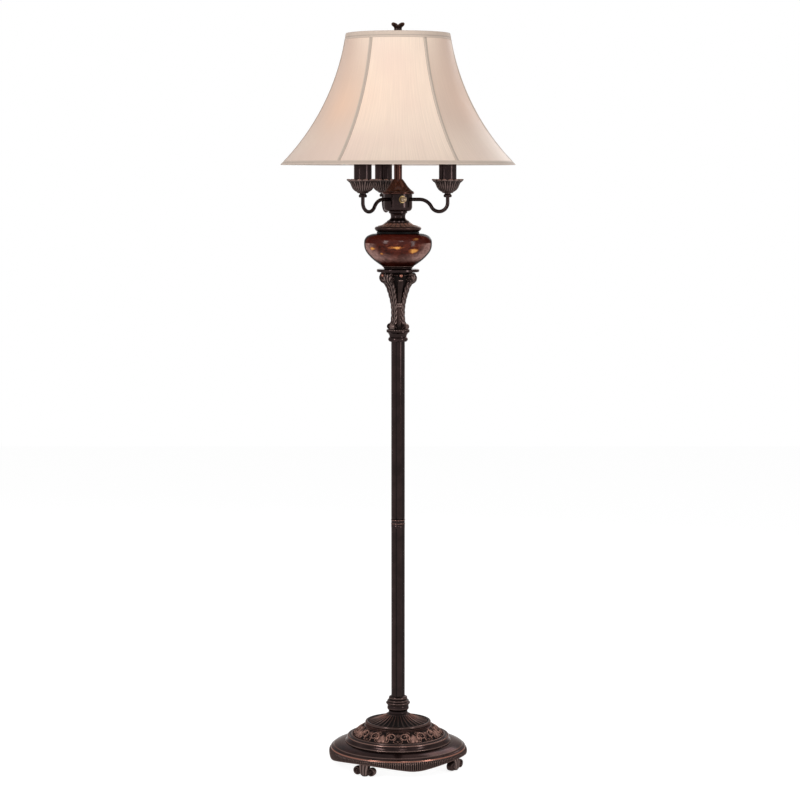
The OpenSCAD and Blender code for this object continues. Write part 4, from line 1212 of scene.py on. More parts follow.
@dataclass
class ScrollBase:
    """Feet, ribbed plate, stepped ring, carved dome, fluted disc and the pole's collar."""

    finishes: Finishes
    plate_top: float = 49.0
    apron_bottom: float = 14.0
    apron_top: float = 34.0
    scallop_top: float = 25.0
    scallop_r: float = 460.0
    wall: float = 4.0
    apron_ribs: int = 200
    post_r: float = 135.0
    post_d: float = 16.0
    screw_d: float = 4.0
    post_top: float = 45.5
    stub_bottom: float = 21.0
    plate_slope: float = 0.365
    foot_top: float = 30.0
    pad_top: float = 2.0
    leg_top: float = 26.0
    feet: tuple[float, ...] = (-30.0, 60.0, 150.0, 240.0)
    foot_w: float = 54.0
    foot_t: float = 15.0
    foot_r: float = 143.5
    scroll_d: float = 20.0
    leaf_repeats: int = 8
    carving: float = 2.6
    dome_slope: float = 0.72
    dome_mid_r: float = 88.0
    foot_margin: float = 2.0
    top_margin: float = 8.5
    bead_count: int = 84
    bead_r: float = 2.1
    disc_bottom: float = 87.0
    disc_h: float = 23.5
    flutes: int = 32
    flute_depth: float = 4.2
    collar_bottom: float = 110.5

    def make(self) -> None:
        """Builds every piece of the base."""
        self.plate()
        self.scroll_feet()
        self.ogee()
        self.dome()
        self.disc()
        self.collar()

    def plate(self) -> None:
        """The plate with its ribbed and scalloped apron, hollow from below."""
        outer = turned_line([
            (99.5, 49.0), (117.0, 49.0), (121.0, 48.7), (132.0, 46.4), (141.6, 42.6), (142.6, 42.0),
            (143.2, 40.6), (148.0, 38.0), (149.0, 37.0), (148.8, 35.4), (150.0, 33.9), (152.1, 30.6),
            (153.0, 26.5), (153.0, 24.5), (153.0, 21.0), (152.6, 17.5), (151.8, 14.2),
        ], 1.0, times=1)
        inner = np.stack([
            outer[:, 0] - self.wall, np.maximum(outer[:, 1] - self.wall, self.apron_bottom + 0.1)
        ], axis=1)
        top, under = self.plate_top, self.plate_top - self.wall
        outline = np.vstack([
            [(PIPE_BORE, top), (60.0, top)], outer, inner[::-1], [(60.0, under), (PIPE_BORE, under)],
        ])
        out_count = len(outer)

        def relief(azimuth: Array, radius: Array, height: Array) -> tuple:
            """Cuts the scallops, raises the ribs and paints highlight lines and shade."""
            angle = np.degrees(azimuth)
            lowest = np.full_like(radius, self.apron_bottom)
            for foot in self.feet:
                off = (angle - foot + 180.0) % 360.0 - 180.0
                away = radius * np.sin(np.radians(off))
                span = np.sqrt(np.clip(self.scallop_r**2 - away**2, 0.0, None))
                arch = self.scallop_top - self.scallop_r + span
                arch = np.where(np.abs(off) < 50.0, arch, 0.0)
                lowest = lowest + np.logaddexp(0.0, (arch - lowest) / 1.1) * 1.1
            top, tall = self.apron_top, self.apron_top - self.apron_bottom
            level = smooth_step(top, self.apron_bottom, height)
            squeezed = lowest + (height - self.apron_bottom) * (top - lowest) / tall
            squeezed = np.where(height < top, squeezed, height)
            outside = np.zeros(radius.shape, bool)
            outside[:, 2:2 + out_count] = True
            wave = np.cos(azimuth * self.apron_ribs)
            band = smooth_step(35.0, 32.5, squeezed) * smooth_step(lowest + 1.6, lowest + 3.4, squeezed)
            lip = peak(squeezed - lowest, 1.0, 1.1)
            cut = np.where(outside & (radius > 148.4), band * (1.0 - wave) * 0.80, 0.0)
            # Painted highlight lines, with copper rubbing, on the plate's edges, the apron's lip and the
            # ribs' crests.
            edge = peak(radius, 142.2, 0.6) * 0.7 + peak(radius, 148.9, 0.5)
            rub = edge * 0.8 + lip * 0.35 * (radius > 149.0) + band * unit(wave) * 0.42
            rub = np.where(outside, unit(rub), 0.0)
            # Painted shade between the ribs, and inside the apron, darker toward its foot.
            recess = np.where(outside, band * (1.0 - wave) * 0.5, level * 0.5)
            return radius - cut, squeezed, rub, recess

        form = lathe(outline, 1600, relief)
        post = self._post(self.post_top, self.foot_top + 0.05)
        along, _, height = post.points[0].T
        # The post's top follows the slope inside the plate.
        slope = self.plate_top - 3.1 - self.plate_slope * (along + self.post_r - 119.9)
        post.points[0][:, 2] = np.where(height > self.foot_top + 10.0, slope, height)
        for foot in self.feet:
            form.join(post, foot, (self.post_r, 0.0, 0.0))
        form.build("ribbed_plate", self.finishes.bronze, ["base_plate"], "bronze")

    def _post(self, high: float, low: float) -> Form:
        """A post about Z with a bore for the foot's screw, between two heights."""
        outer, bore = self.post_d / 2, self.screw_d / 2
        return lathe(np.array([(outer, high), (outer, low), (bore, low), (bore, high)]), 32)

    def scroll_feet(self) -> None:
        """Four feet, each a flared and ridged leg between two scrolls."""
        foot = self._foot()
        form = Form()
        for azimuth in self.feet:
            form.join(foot, azimuth)
        form.build("scrolled_feet", self.finishes.carved, ["scroll_feet"], "bronze")

    def _foot(self) -> Form:
        """One foot, with +X outward: a flared leg with soft ridges between two volutes.

        Returns:
            The form.
        """
        form = Form()
        front = self.foot_r + self.foot_t / 2
        mid = self.foot_r
        pad, top = self.pad_top, self.leg_top
        rows, columns = 34, 96
        share = np.linspace(0.0, 1.0, rows)
        turn = np.linspace(0.0, ALL_ROUND, columns, endpoint=False)
        s, t = np.meshgrid(share, turn, indexing="ij")
        half = 12.5 - 4.0 * (1.0 - s) ** 1.5
        wide = np.sign(np.cos(t)) * np.abs(np.cos(t)) ** 0.6
        deep = np.sign(np.sin(t)) * np.abs(np.sin(t)) ** 0.6
        ridge = np.abs(np.cos(wide * 1.5 * math.pi)) ** 0.7 * (deep > 0.4)
        bulge = 1.6 * np.sin(math.pi * s) - 1.0 * s
        x = mid + deep * (self.foot_t / 2 - 1.2) + ridge * 1.1 + np.where(deep > 0, bulge, 0.0)
        skin = np.stack([x, wide * half, pad + s * (top - pad)], axis=-1)
        caps = [np.repeat(np.array([[[mid, 0.0, h]]]), columns, axis=1) for h in (pad, top)]
        blank = np.zeros((1, columns))
        # The ridges' crests take copper rubbing and painted highlight, the grooves between them painted
        # shade.
        rub = np.concatenate([blank, ridge**3 * 0.42, blank])
        recess = np.concatenate([blank, (1.0 - ridge) ** 2 * (deep > 0.4) * 0.9, blank])
        form.grid(np.concatenate([caps[0], skin, caps[1]], axis=0), False, True, rub, recess)
        reach = self.scroll_d / 2
        for side in (-1, 1):
            eye = np.array([side * (self.foot_w - self.scroll_d) / 2, pad + reach])
            fall = np.linspace(0.0, 1.0, 26)[:-1]
            start = np.array([side * 4.0, top + 1.0])
            bend = np.array([side * 8.0, eye[1] - 8.0])
            foot = np.array([eye[0], pad + 1.9])
            lead = (
                (1 - fall)[:, None] ** 2 * start + 2 * (fall * (1 - fall))[:, None] * bend
                + fall[:, None] ** 2 * foot
            )
            flat = np.vstack([lead, curl(eye, reach - 3.1, 1.2, 1.35, -math.pi / 2, side)])
            path = np.column_stack([np.full(len(flat), mid), flat])
            across = np.tile([1.0, 0.0, 0.0], (len(path), 1))
            widths = np.full(len(path), self.foot_t - 0.6)
            form.join(sweep(path, across, widths, np.linspace(6.0, 3.6, len(path)), 16, 0.8))
            rim, face, back = reach - 2.6, 4.8, -5.4
            # The web inside each scroll is darkened as painted shade.
            web = lathe(np.array([(rim, face), (rim, back), (0.0, back), (0.0, face)]), 40)
            form.join(web.marked(Mark.RECESS, 0.85).laid((2, 0, 1), (mid, *eye)))
            form.join(ball((front - 2.6, eye[0], eye[1]), 2.6, 1.0, 14))
        stub = self._post(self.foot_top - 0.05, self.stub_bottom)
        form.join(stub, 90.0, (self.post_r, 0.0, 0.0))
        return form

    def ogee(self) -> None:
        """The stepped ring between the plate and the dome, its edges rubbed and with painted highlights."""
        outline = closed_outline([
            (117.0, 49.0), (117.2, 50.6), (114.6, 53.0), (113.0, 56.4), (112.6, 59.6), (111.6, 61.6),
            (109.4, 62.2), (106.8, 61.6), (105.4, 61.2), (104.6, 62.2), (104.2, 63.6), (102.8, 64.6),
            (101.0, 64.4), (99.8, 63.2), (99.6, 61.0),
        ], [(92.0, 61.0), (92.0, 49.0)], 0.6)

        def relief(azimuth: Array, radius: Array, height: Array) -> tuple:
            """Rubs the edges, with painted highlight, and paints shade at the foot and in the step's
            hollow.
            """
            high = height > 60.0
            worn_and_highlight = peak(radius, 111.8, 0.9) * high + peak(radius, 116.8, 0.6) * 0.7
            worn_and_highlight = worn_and_highlight + peak(radius, 103.0, 1.0) * high * 0.6
            recess = peak(height, 49.6, 0.6) * 0.7 + peak(radius, 105.8, 1.0) * high * 0.85
            return radius, height, unit(worn_and_highlight * 0.62), unit(recess)

        lathe(outline, 360, relief).build("stepped_ring", self.finishes.bronze, ["ogee_ring"], "bronze")

    def dome(self) -> None:
        """The dome carved with leaves and scrolls."""
        outer = turned_line([
            (99.0, 61.0), (99.0, 63.4), (97.0, 67.8), (90.0, 74.6), (82.0, 80.0), (75.0, 83.4),
            (73.2, 84.1), (71.4, 84.3), (71.0, 87.0),
        ], 0.35)
        outline = np.vstack([outer, [
            (PIPE_BORE, 87.0), (PIPE_BORE, 83.0), (68.0, 83.0), (78.0, 78.0), (90.0, 69.5), (95.0, 61.0)
        ]])
        run = reach_along(outer)
        count = len(outer)
        band = (run[-1] - self.top_margin) - self.foot_margin
        wide = ALL_ROUND * self.dome_mid_r / self.leaf_repeats
        canvas = leaf_canvas(wide, band)

        def relief(azimuth: Array, radius: Array, height: Array) -> tuple:
            """Raises the carving on the outside of the dome."""
            up = np.zeros(radius.shape)
            up[:, :count] = run[None, :]
            outside = (np.arange(radius.shape[1]) < count)[None, :]
            across = azimuth / ALL_ROUND * wide * self.leaf_repeats
            raised = canvas.at(across, up - self.foot_margin)
            zone = smooth_step(1.2, 2.6, up) * smooth_step(run[-1] - 6.0, run[-1] - 7.6, up) * outside
            depth = (raised - 0.75) * self.carving * zone
            out = radius + depth * math.sin(self.dome_slope)
            rise = height + depth * math.cos(self.dome_slope)
            # The carving's crests take copper rubbing and painted highlight, its low ground painted shade.
            rub = zone * smooth_step(0.48, 1.05, raised) * 0.72
            return out, rise, rub, zone * smooth_step(0.36, 0.08, raised)

        form = lathe(outline, 1800, relief)
        bead = ball((70.4, 0.0, 85.4), self.bead_r, 0.8, 12)
        for number in range(self.bead_count):
            form.join(bead, number * 360.0 / self.bead_count)
        form.build("carved_dome", self.finishes.copper, ["leaf_dome"], "copper_bronze")

    def disc(self) -> None:
        """The fluted disc with its rolled rim."""
        z = self.disc_bottom
        outline = closed_outline([
            (69.6, 0.0), (71.4, 0.2), (72.8, 1.6), (72.8, 3.8), (72.0, 5.8), (69.6, 6.6), (66.8, 5.9),
            (60.0, 7.4), (48.0, 11.0), (37.0, 15.2), (28.0, 20.2), (22.6, 23.3), (22.0, 23.5),
        ], [(PIPE_BORE, self.disc_h), (PIPE_BORE, 0.0)], 0.5, z)

        def relief(azimuth: Array, radius: Array, height: Array) -> tuple:
            """Hollows the flutes between narrow ridges, with painted highlight and rubbing on the ridges
            and the rim's roll, and painted shade in the flutes and the well.
            """
            zone = smooth_step(66.8, 64.6, radius) * smooth_step(22.0, 27.0, radius) * (height > z + 0.6)
            ridge = np.abs(np.sin(azimuth * self.flutes / 2.0))
            depth = (1.0 - (1.0 - ridge) ** 2.0) * zone
            crest = (1.0 - smooth_step(0.14, 0.40, ridge)) * zone
            roll = peak(radius, 72.2, 1.4) * (height > z + 2.5)
            well = smooth_step(68.2, 66.8, radius) * smooth_step(64.4, 66.0, radius)
            fall = depth * self.flute_depth * np.clip(radius / 50.0, 0.45, 1.0)
            near = smooth_step(62.0, 34.0, radius)
            rub = crest * (0.22 + 0.45 * near) + roll * 0.15
            return radius, height - fall, unit(rub), unit(well + depth * 1.2)

        lathe(outline, 1200, relief).build("fluted_plate", self.finishes.bronze, ["fluted_disc"], "bronze")

    def collar(self) -> None:
        """The turned collar at the foot of the pole."""
        z = self.collar_bottom
        outline = closed_outline([
            (21.6, 0.0), (21.2, 2.0), (20.6, 5.0), (21.4, 7.6), (23.6, 9.2), (24.0, 11.4), (23.6, 15.0),
            (22.8, 17.6), (23.6, 18.4), (24.4, 19.2), (23.8, 20.0), (24.2, 20.6), (26.4, 21.4),
            (26.8, 23.2), (26.0, 25.0), (23.6, 25.8), (23.0, 26.4), (23.8, 27.2), (23.6, 29.2),
            (22.0, 30.0), (19.8, 30.4), (19.4, 31.0), (20.4, 32.0), (20.6, 34.6), (19.8, 36.8),
            (17.2, 38.0), (16.6, 38.5),
        ], [(15.02, 38.5), (15.02, 29.5), (PIPE_BORE, 29.5), (PIPE_BORE, 0.0)], 0.5, z, 1)

        def relief(azimuth: Array, radius: Array, height: Array) -> tuple:
            """Rubs the rings' edges, with painted highlight, and paints shade in the grooves."""
            grooves = sum(peak(height - z, at, 0.7) for at in (5.2, 17.6, 20.0, 26.3, 30.8))
            worn_and_highlight = sum(peak(height - z, at, 0.9) for at in (10.4, 19.2, 23.0, 28.2, 34.4))
            return radius, height, worn_and_highlight * 0.30 * (radius > 16.8), unit(grooves) * 0.85

        gloss = self.finishes.gloss_bronze
        lathe(outline, 144, relief).build("pole_foot", gloss, ["foot_collar"], "bronze")


# Pole and capital ------------------------------------------------------


@dataclass
class ReededPole:
    """The pole's two lengths with six wide reeds, and the ring where they join."""

    finishes: Finishes
    radius: float = 15.0
    wall: float = 1.5
    reeds: int = 6
    groove: float = 0.95
    first_groove: float = -15.0
    lower: Pair = (140.0, 533.5)
    upper: Pair = (542.5, 944.0)
    spigot_h: float = 20.0

    def make(self) -> None:
        """Builds both lengths and the ring."""
        self._length("lower_reeds", "lower_pole", *self.lower, (1, 1))
        self._length("upper_reeds", "upper_pole", *self.upper, (0, 1))
        self._ring()

    def _reed(self, azimuth: Array) -> Array:
        """How deep the reeds' surface lies at each azimuth, from 0 on a crest."""
        crest = np.abs(np.sin((azimuth - math.radians(self.first_groove)) * self.reeds / 2.0))
        return self.groove * (1.0 - crest ** 0.55)

    def _length(self, name: str, node: str, low: float, high: float, plain: tuple[int, int]) -> None:
        """One reeded tube, plain where it stands in a socket.

        Args:
            name: the piece's name.
            node: the plain node that it stands for.
            low: the height of its foot.
            high: the height of its top.
            plain: 1 for a plain foot and for a plain top, else 0.
        """
        long = high - low
        near_end = np.array([0.0, 8.0, 10.0, 14.0])
        levels = np.concatenate([near_end, np.linspace(20.0, long - 20.0, 60), long - near_end[::-1]])
        outer = np.stack([np.full_like(levels, self.radius), low + levels], axis=1)
        outline = np.vstack([outer, [(self.radius - self.wall, high), (self.radius - self.wall, low)]])

        def relief(azimuth: Array, radius: Array, height: Array) -> tuple:
            """Cuts the grooves between the reeds and paints shade down them."""
            outside = radius > self.radius - 0.1
            fade = np.ones_like(radius)
            if plain[0]:
                fade = fade * smooth_step(low + 8.5, low + 10.0, height)
            if plain[1]:
                fade = fade * smooth_step(high - 8.5, high - 10.0, height)
            depth = self._reed(azimuth) * fade * outside
            return radius - depth, height, 0.0, smooth_step(0.30, 0.70, depth) * 0.97

        lathe(outline, 288, relief).build(name, self.finishes.gloss_bronze, [node], "bronze")

    def _ring(self) -> None:
        """The joint ring: two lips, rubbed and with painted highlights, with the reeds running between
        them.
        """
        low, high = self.lower[1], self.upper[0]
        spigot, cable = self.radius - self.wall - 0.02, self.radius - 9.0
        lip = [(spigot, 0.0), (15.2, 0.0), (15.6, 0.3), (15.6, 1.0), (15.2, 1.3), (15.0, 1.5)]
        skin = [(r, low + up) for r, up in lip] + [(15.0, low + 4.5)]
        skin = skin + [(r, high - up) for r, up in lip[::-1]]
        outline = closed_outline(skin, [
            (spigot, high + self.spigot_h), (cable, high + self.spigot_h),
            (cable, low - self.spigot_h), (spigot, low - self.spigot_h),
        ], 0.3, times=1)

        def relief(azimuth: Array, radius: Array, height: Array) -> tuple:
            """Runs the reeds on between the lips, rubs the lips with painted highlight and paints a little
            shade between them.
            """
            between = smooth_step(low + 1.3, low + 2.0, height)
            between = between * smooth_step(high - 1.3, high - 2.0, height)
            lips = np.clip(radius - 15.05, 0.0, 0.5) / 0.5
            skin = (radius > 14.5) * between
            return radius - self._reed(azimuth) * skin, height, lips * 0.6, (1 - lips) * between * 0.1

        gloss = self.finishes.gloss_bronze
        lathe(outline, 240, relief).build("joint_lips", gloss, ["pole_joint"], "bronze")


@dataclass
class LeafCapital:
    """Four leaf brackets with volutes round a beaded baluster."""

    finishes: Finishes
    bottom: float = 958.5
    height: float = 128.0
    upper_volute: float = 10.8
    lower_volute: float = 7.0
    foot_leaves: int = 32
    azimuths: tuple[float, ...] = (-33.0, 57.0, 147.0, 237.0)

    def make(self) -> None:
        """Builds the capital as one piece."""
        form = self._core()
        bracket = self._bracket()
        for azimuth in self.azimuths:
            form.join(bracket, azimuth)
        panel = self._panel()
        for azimuth in self.azimuths:
            form.join(panel, azimuth + 45.0)
        form.build("leaf_capital", self.finishes.carved, ["capital"], "bronze")

    def _core(self) -> Form:
        """The baluster in the middle, with its flared and fluted foot.

        Returns:
            The form.
        """
        z = self.bottom
        outline = closed_outline([
            (25.0, 0.0), (25.6, 1.6), (24.6, 3.0), (18.0, 4.2), (14.0, 8.0), (12.2, 14.0), (11.6, 22.0),
            (11.6, 46.0), (12.0, 50.0), (14.4, 51.2), (15.0, 53.4), (14.2, 55.4), (14.2, 56.2),
            (15.2, 58.0), (14.8, 60.4), (12.8, 61.6), (12.2, 64.0), (14.0, 74.0), (17.4, 88.0),
            (22.6, 98.0), (26.6, 104.0), (28.6, 112.0), (29.6, 119.0), (30.0, 121.0), (30.0, 128.0),
        ], [(PIPE_BORE, self.height), (PIPE_BORE, 0.0)], 0.6, z)

        def relief(azimuth: Array, radius: Array, height: Array) -> tuple:
            """Rings in the waist, flutes on the foot, painted highlight on the rings and painted shade in
            the hollows and over the upper flare.
            """
            up = height - z
            foot = smooth_step(0.6, 1.6, up) * smooth_step(3.6, 2.8, up)
            leaf = np.abs(np.sin(azimuth * self.foot_leaves / 2.0)) ** 0.6
            upper = smooth_step(61.0, 66.0, up) * 0.9
            lower = smooth_step(3.4, 5.0, up) * smooth_step(20.0, 6.0, up) * 0.8
            rings = peak(up, 53.0, 1.2) + peak(up, 59.0, 1.2)
            skin = radius > PIPE_BORE + 1.0
            out = np.where(skin, radius - foot * (1.0 - leaf) * 1.2, radius)
            rub = unit(rings * 0.38 + foot * leaf**3 * 0.3)
            recess = unit(upper + lower + foot * (1.0 - leaf) * 0.8 - rings)
            return out, height, rub * skin, recess * skin

        return lathe(outline, 240, relief)

    def _bracket(self) -> Form:
        """One leaf bracket, with +X outward.

        Returns:
            The form.
        """
        form = Form()
        z = self.bottom
        line = turned_line([
            (19.6, 13.0), (16.6, 18.0), (15.2, 23.0), (14.4, 30.0), (14.2, 39.0), (14.6, 49.0),
            (15.6, 56.0), (16.8, 63.0), (18.4, 70.0), (20.4, 77.0), (22.8, 84.0), (25.4, 91.5),
            (28.8, 98.5), (33.8, 103.6), (39.4, 106.6), (43.0, 111.6), (43.7, 117.4), (41.8, 122.8),
            (37.6, 126.2), (32.4, 127.0),
        ], 0.9, z)
        path = np.insert(line, 1, 0.0, axis=1)
        share = np.linspace(0.0, 1.0, len(path))
        widths = 12.8 + 7.8 * unit((share - 0.30) / 0.5) ** 1.2
        form.join(self._leaf_band(path, widths, 8.6))
        eye, reach = (32.4, z + 115.9), self.upper_volute
        upper = curl(eye, reach - 1.4, 1.0, 1.55, -1.2, 1)
        for edge in (-1, 1):
            form.join(self._scroll(upper, edge * 8.0, 2.8, (3.6, 2.4), 12, 0.9))
            form.join(ball((eye[0], edge * 8.6, eye[1]), 2.6, 1.0, 14))
        form.join(self._drum(*eye, reach - 0.6, 15.4))
        eye, reach = (18.8, z + 8.6), self.lower_volute
        lower = curl(eye, reach - 1.4, 0.9, 1.5, 2.1, -1, 0.75)
        form.join(self._scroll(lower, 0.0, 13.6, (3.2, 2.2), 14, 0.8))
        form.join(self._drum(*eye, reach - 1.2, 10.6))
        for edge in (1, -1):
            form.join(ball((eye[0], edge * 5.8, eye[1]), 2.2, 1.0, 12))
        return form

    @staticmethod
    def _scroll(flat: Array, y: float, wide: float, thick: Pair, sides: int, power: float) -> Form:
        """A band wound along a flat curl that stands in the bracket's own plane.

        Args:
            flat: the curl's points, as distance outward and height.
            y: how far to the side it stands.
            wide: the band's width.
            thick: its thickness at the start and at the end.
            sides: how many sides round its section.
            power: below 1 for a squarer section.

        Returns:
            The form.
        """
        path = np.insert(flat, 1, y, axis=1)
        count = len(path)
        across = np.tile([0.0, 1.0, 0.0], (count, 1))
        return sweep(path, across, np.full(count, wide), np.linspace(*thick, count), sides, power)

    @staticmethod
    def _drum(x: float, z: float, radius: float, wide: float) -> Form:
        """A short cylinder that lies across the bracket, inside a volute, darkened as painted shade.

        Args:
            x: how far out its axis lies.
            z: how high its axis lies.
            radius: its radius.
            wide: its length.

        Returns:
            The form.
        """
        half = wide / 2
        form = lathe(np.array([(radius, -half), (radius, half), (0.0, half), (0.0, -half)]), 40)
        return form.marked(Mark.RECESS, 0.85).laid((0, 2, 1), (x, 0.0, z))

    @staticmethod
    def _leaf_band(path: Array, widths: Array, thick: float) -> Form:
        """A leaf laid along a path, with a midrib, side lobes and frilled edges.

        Args:
            path: the middle of the leaf's face.
            widths: its full width at each point.
            thick: how far it reaches back from its face.

        Returns:
            The form.
        """
        run = directions(path)
        out = np.stack([run[:, 2], np.zeros(len(run)), -run[:, 0]], axis=1)
        reach = reach_along(path)
        side = np.linspace(-1.0, 1.0, 37)
        s, w = np.meshgrid(reach, side, indexing="ij")
        lobe = np.abs(np.sin((s - np.abs(w) * 13.0) * math.pi / 12.0)) ** 0.7
        frill = 1.0 - 0.22 * (1.0 - lobe) * np.abs(w) ** 2
        rib = peak(w, 0.0, 0.13)
        gutter = peak(np.abs(w), 0.30, 0.12)
        crown = np.sin(unit((np.abs(w) - 0.30) / 0.70) * math.pi)
        rise = 0.9 * rib - 0.9 * gutter + 1.5 * lobe * crown - 1.6 * np.abs(w) ** 4
        y = w * widths[:, None] / 2 * frill
        across = np.array([0.0, 1.0, 0.0])
        face = path[:, None] + out[:, None] * rise[..., None] + across * y[..., None]
        rear = path[:, None] - out[:, None] * thick + across * (y * 0.80)[..., None]
        loop = np.concatenate([face, rear[:, ::-1]], axis=1)
        pad = ((1, 1), (0, len(side)))
        # The rib and lobe crowns take copper rubbing and painted highlight, the gutters and lobe hollows
        # painted shade.
        rub = np.pad(unit(rib * 0.45 + lobe**2 * crown * 0.42), pad)
        recess = np.pad(unit(gutter * 0.9 + (1.0 - lobe) * crown * 0.9), pad)
        return Form().grid(capped(loop), False, True, rub, recess)

    def _panel(self) -> Form:
        """The beads and the slim baluster between two brackets, with +X outward.

        Returns:
            The form.
        """
        form = Form()
        z = self.bottom
        # Painted highlight, with rubbing, on the two beads.
        form.join(ball((33.0, 0.0, z + 121.4), 4.2, 0.95, 16).marked(Mark.RUB_AND_HIGHLIGHT, 0.85))
        form.join(ball((28.4, 0.0, z + 110.6), 6.4, 0.32, 20).marked(Mark.RUB_AND_HIGHLIGHT, 0.5))
        line = turned_line([
            (27.6, 109.6), (25.6, 102.0), (22.0, 94.0), (18.8, 84.0), (16.4, 74.0), (14.4, 62.5),
        ], 1.2, z)
        line = np.insert(line, 1, 0.0, axis=1)
        count = len(line)
        across = np.tile([0.0, 1.0, 0.0], (count, 1))
        slim = sweep(line, across, np.linspace(14.4, 6.4, count), np.linspace(8.0, 4.6, count), 24)
        # The slim baluster is darkened as painted shade.
        form.join(slim.marked(Mark.RUB_AND_HIGHLIGHT, 0.0).marked(Mark.RECESS, 0.30))
        for edge in (-1, 1):
            form.join(ball((31.0, edge * 8.6, z + 122.0), 2.6, 0.9, 12))
            form.join(ball((29.4, edge * 13.0, z + 122.4), 2.2, 0.9, 12))
        return form


# Font, cluster and candles ---------------------------------------------


@dataclass
class GlassFont:
    """The tortoise-glass font between its seat and its leafy cap."""

    finishes: Finishes
    bottom: float = 1096.5
    height: float = 74.0
    wall: float = 3.0
    mouth_r: float = 42.9
    hole_r: float = 13.0
    cap_bottom: float = 1174.0
    cap_leaves: int = 22
    seat_bottom: float = 1093.0

    def make(self) -> None:
        """Builds the seat, the glass and the cap."""
        self.seat()
        self.glass()
        self.cap()

    def seat(self) -> None:
        """The stepped seat that carries the glass."""
        z = self.seat_bottom
        outline = closed_outline([
            (27.0, 0.0), (30.0, 0.2), (31.4, 1.6), (31.0, 3.2), (32.4, 4.0), (34.2, 5.2), (34.4, 7.0),
            (33.0, 8.0),
        ], [(30.0, 6.4), (26.6, 3.6), (26.6, 2.6), (PIPE_BORE, 2.6), (PIPE_BORE, 0.0)], 0.5, z)

        def relief(azimuth: Array, radius: Array, height: Array) -> tuple:
            """Rubs the seat's rim, with painted highlight, and paints shade in its groove."""
            rim = peak(height - z, 6.0, 1.2) * (radius > 31.0)
            return radius, height, rim * 0.4, peak(height - z, 3.2, 0.7) * (radius > 29.0) * 0.8

        lathe(outline, 144, relief).build("glass_seat", self.finishes.bronze, ["font_seat"], "bronze")

    def glass(self) -> None:
        """The hollow glass body."""
        z = self.bottom
        outer = np.vstack([lifted([(26.5, 0.0), (29.6, 0.4)], z), rounded(lifted([
            (34.0, 2.7), (41.2, 7.2), (53.1, 15.8), (62.6, 25.0), (70.2, 34.6), (73.5, 44.0), (74.0, 52.0),
            (73.4, 59.4), (70.4, 64.8), (66.0, 69.2), (57.0, 72.8), (49.0, 73.8), (45.9, self.height),
        ], z), 3)])
        outer = spaced(outer, 1.0)
        run = directions(outer)
        inner = outer + np.stack([-run[:, 1], run[:, 0]], axis=1) * self.wall
        inner = inner[(inner[:, 1] > z + self.wall) & (inner[:, 0] > self.mouth_r)]
        outline = np.vstack([
            [(self.hole_r, z)], outer, [(self.mouth_r, z + self.height)], inner[::-1],
            [(26.0, z + self.wall), (self.hole_r, z + self.wall)],
        ])
        lathe(outline, 240).build("blown_font", self.finishes.tortoise, ["font_glass"], "tortoise_glass")

    def cap(self) -> None:
        """The cap: a smooth dark brim and a cone of rubbed leaves, with painted highlight, under the neck.
        """
        z = self.cap_bottom
        outer = turned_line([
            (37.6, 0.0), (43.6, 0.0), (46.0, 1.0), (49.0, 3.2), (50.8, 6.2), (50.6, 8.6), (48.8, 10.8),
            (46.6, 11.2), (44.6, 11.2), (43.2, 11.6), (37.4, 12.8), (33.0, 14.2), (30.6, 16.2),
            (28.8, 18.4), (27.2, 20.2), (26.2, 21.0),
        ], 0.45, z)
        count = len(outer)
        outline = np.vstack([outer, lifted([(PIPE_BORE, 21.0), (PIPE_BORE, 8.0), (37.6, 8.0)], z)])

        def relief(azimuth: Array, radius: Array, height: Array) -> tuple:
            """Raises the leaves on the cone, rubs them with painted highlight and paints shade between them
            and in the well below the brim.
            """
            outside = (np.arange(radius.shape[1]) < count)[None, :]
            cone = (height > z + 11.0) * outside
            zone = smooth_step(44.6, 43.0, radius) * smooth_step(28.6, 30.2, radius) * cone
            phase = azimuth * self.cap_leaves / 2.0
            leaf = np.abs(np.cos(phase))
            vein = peak(np.sin(phase), 0.0, 0.10)
            rise = zone * (leaf**0.5 - 0.35 * vein) * 1.3
            well = peak(radius, 45.4, 0.9) * cone
            rub = zone * (0.26 + 0.45 * leaf)
            recess = zone * (1.0 - leaf) ** 2 * 0.8 + well * 0.8
            return radius, height + rise, unit(rub), unit(recess)

        lathe(outline, 484, relief).build("leafy_cap", self.finishes.copper, ["font_cap"], "bronze")


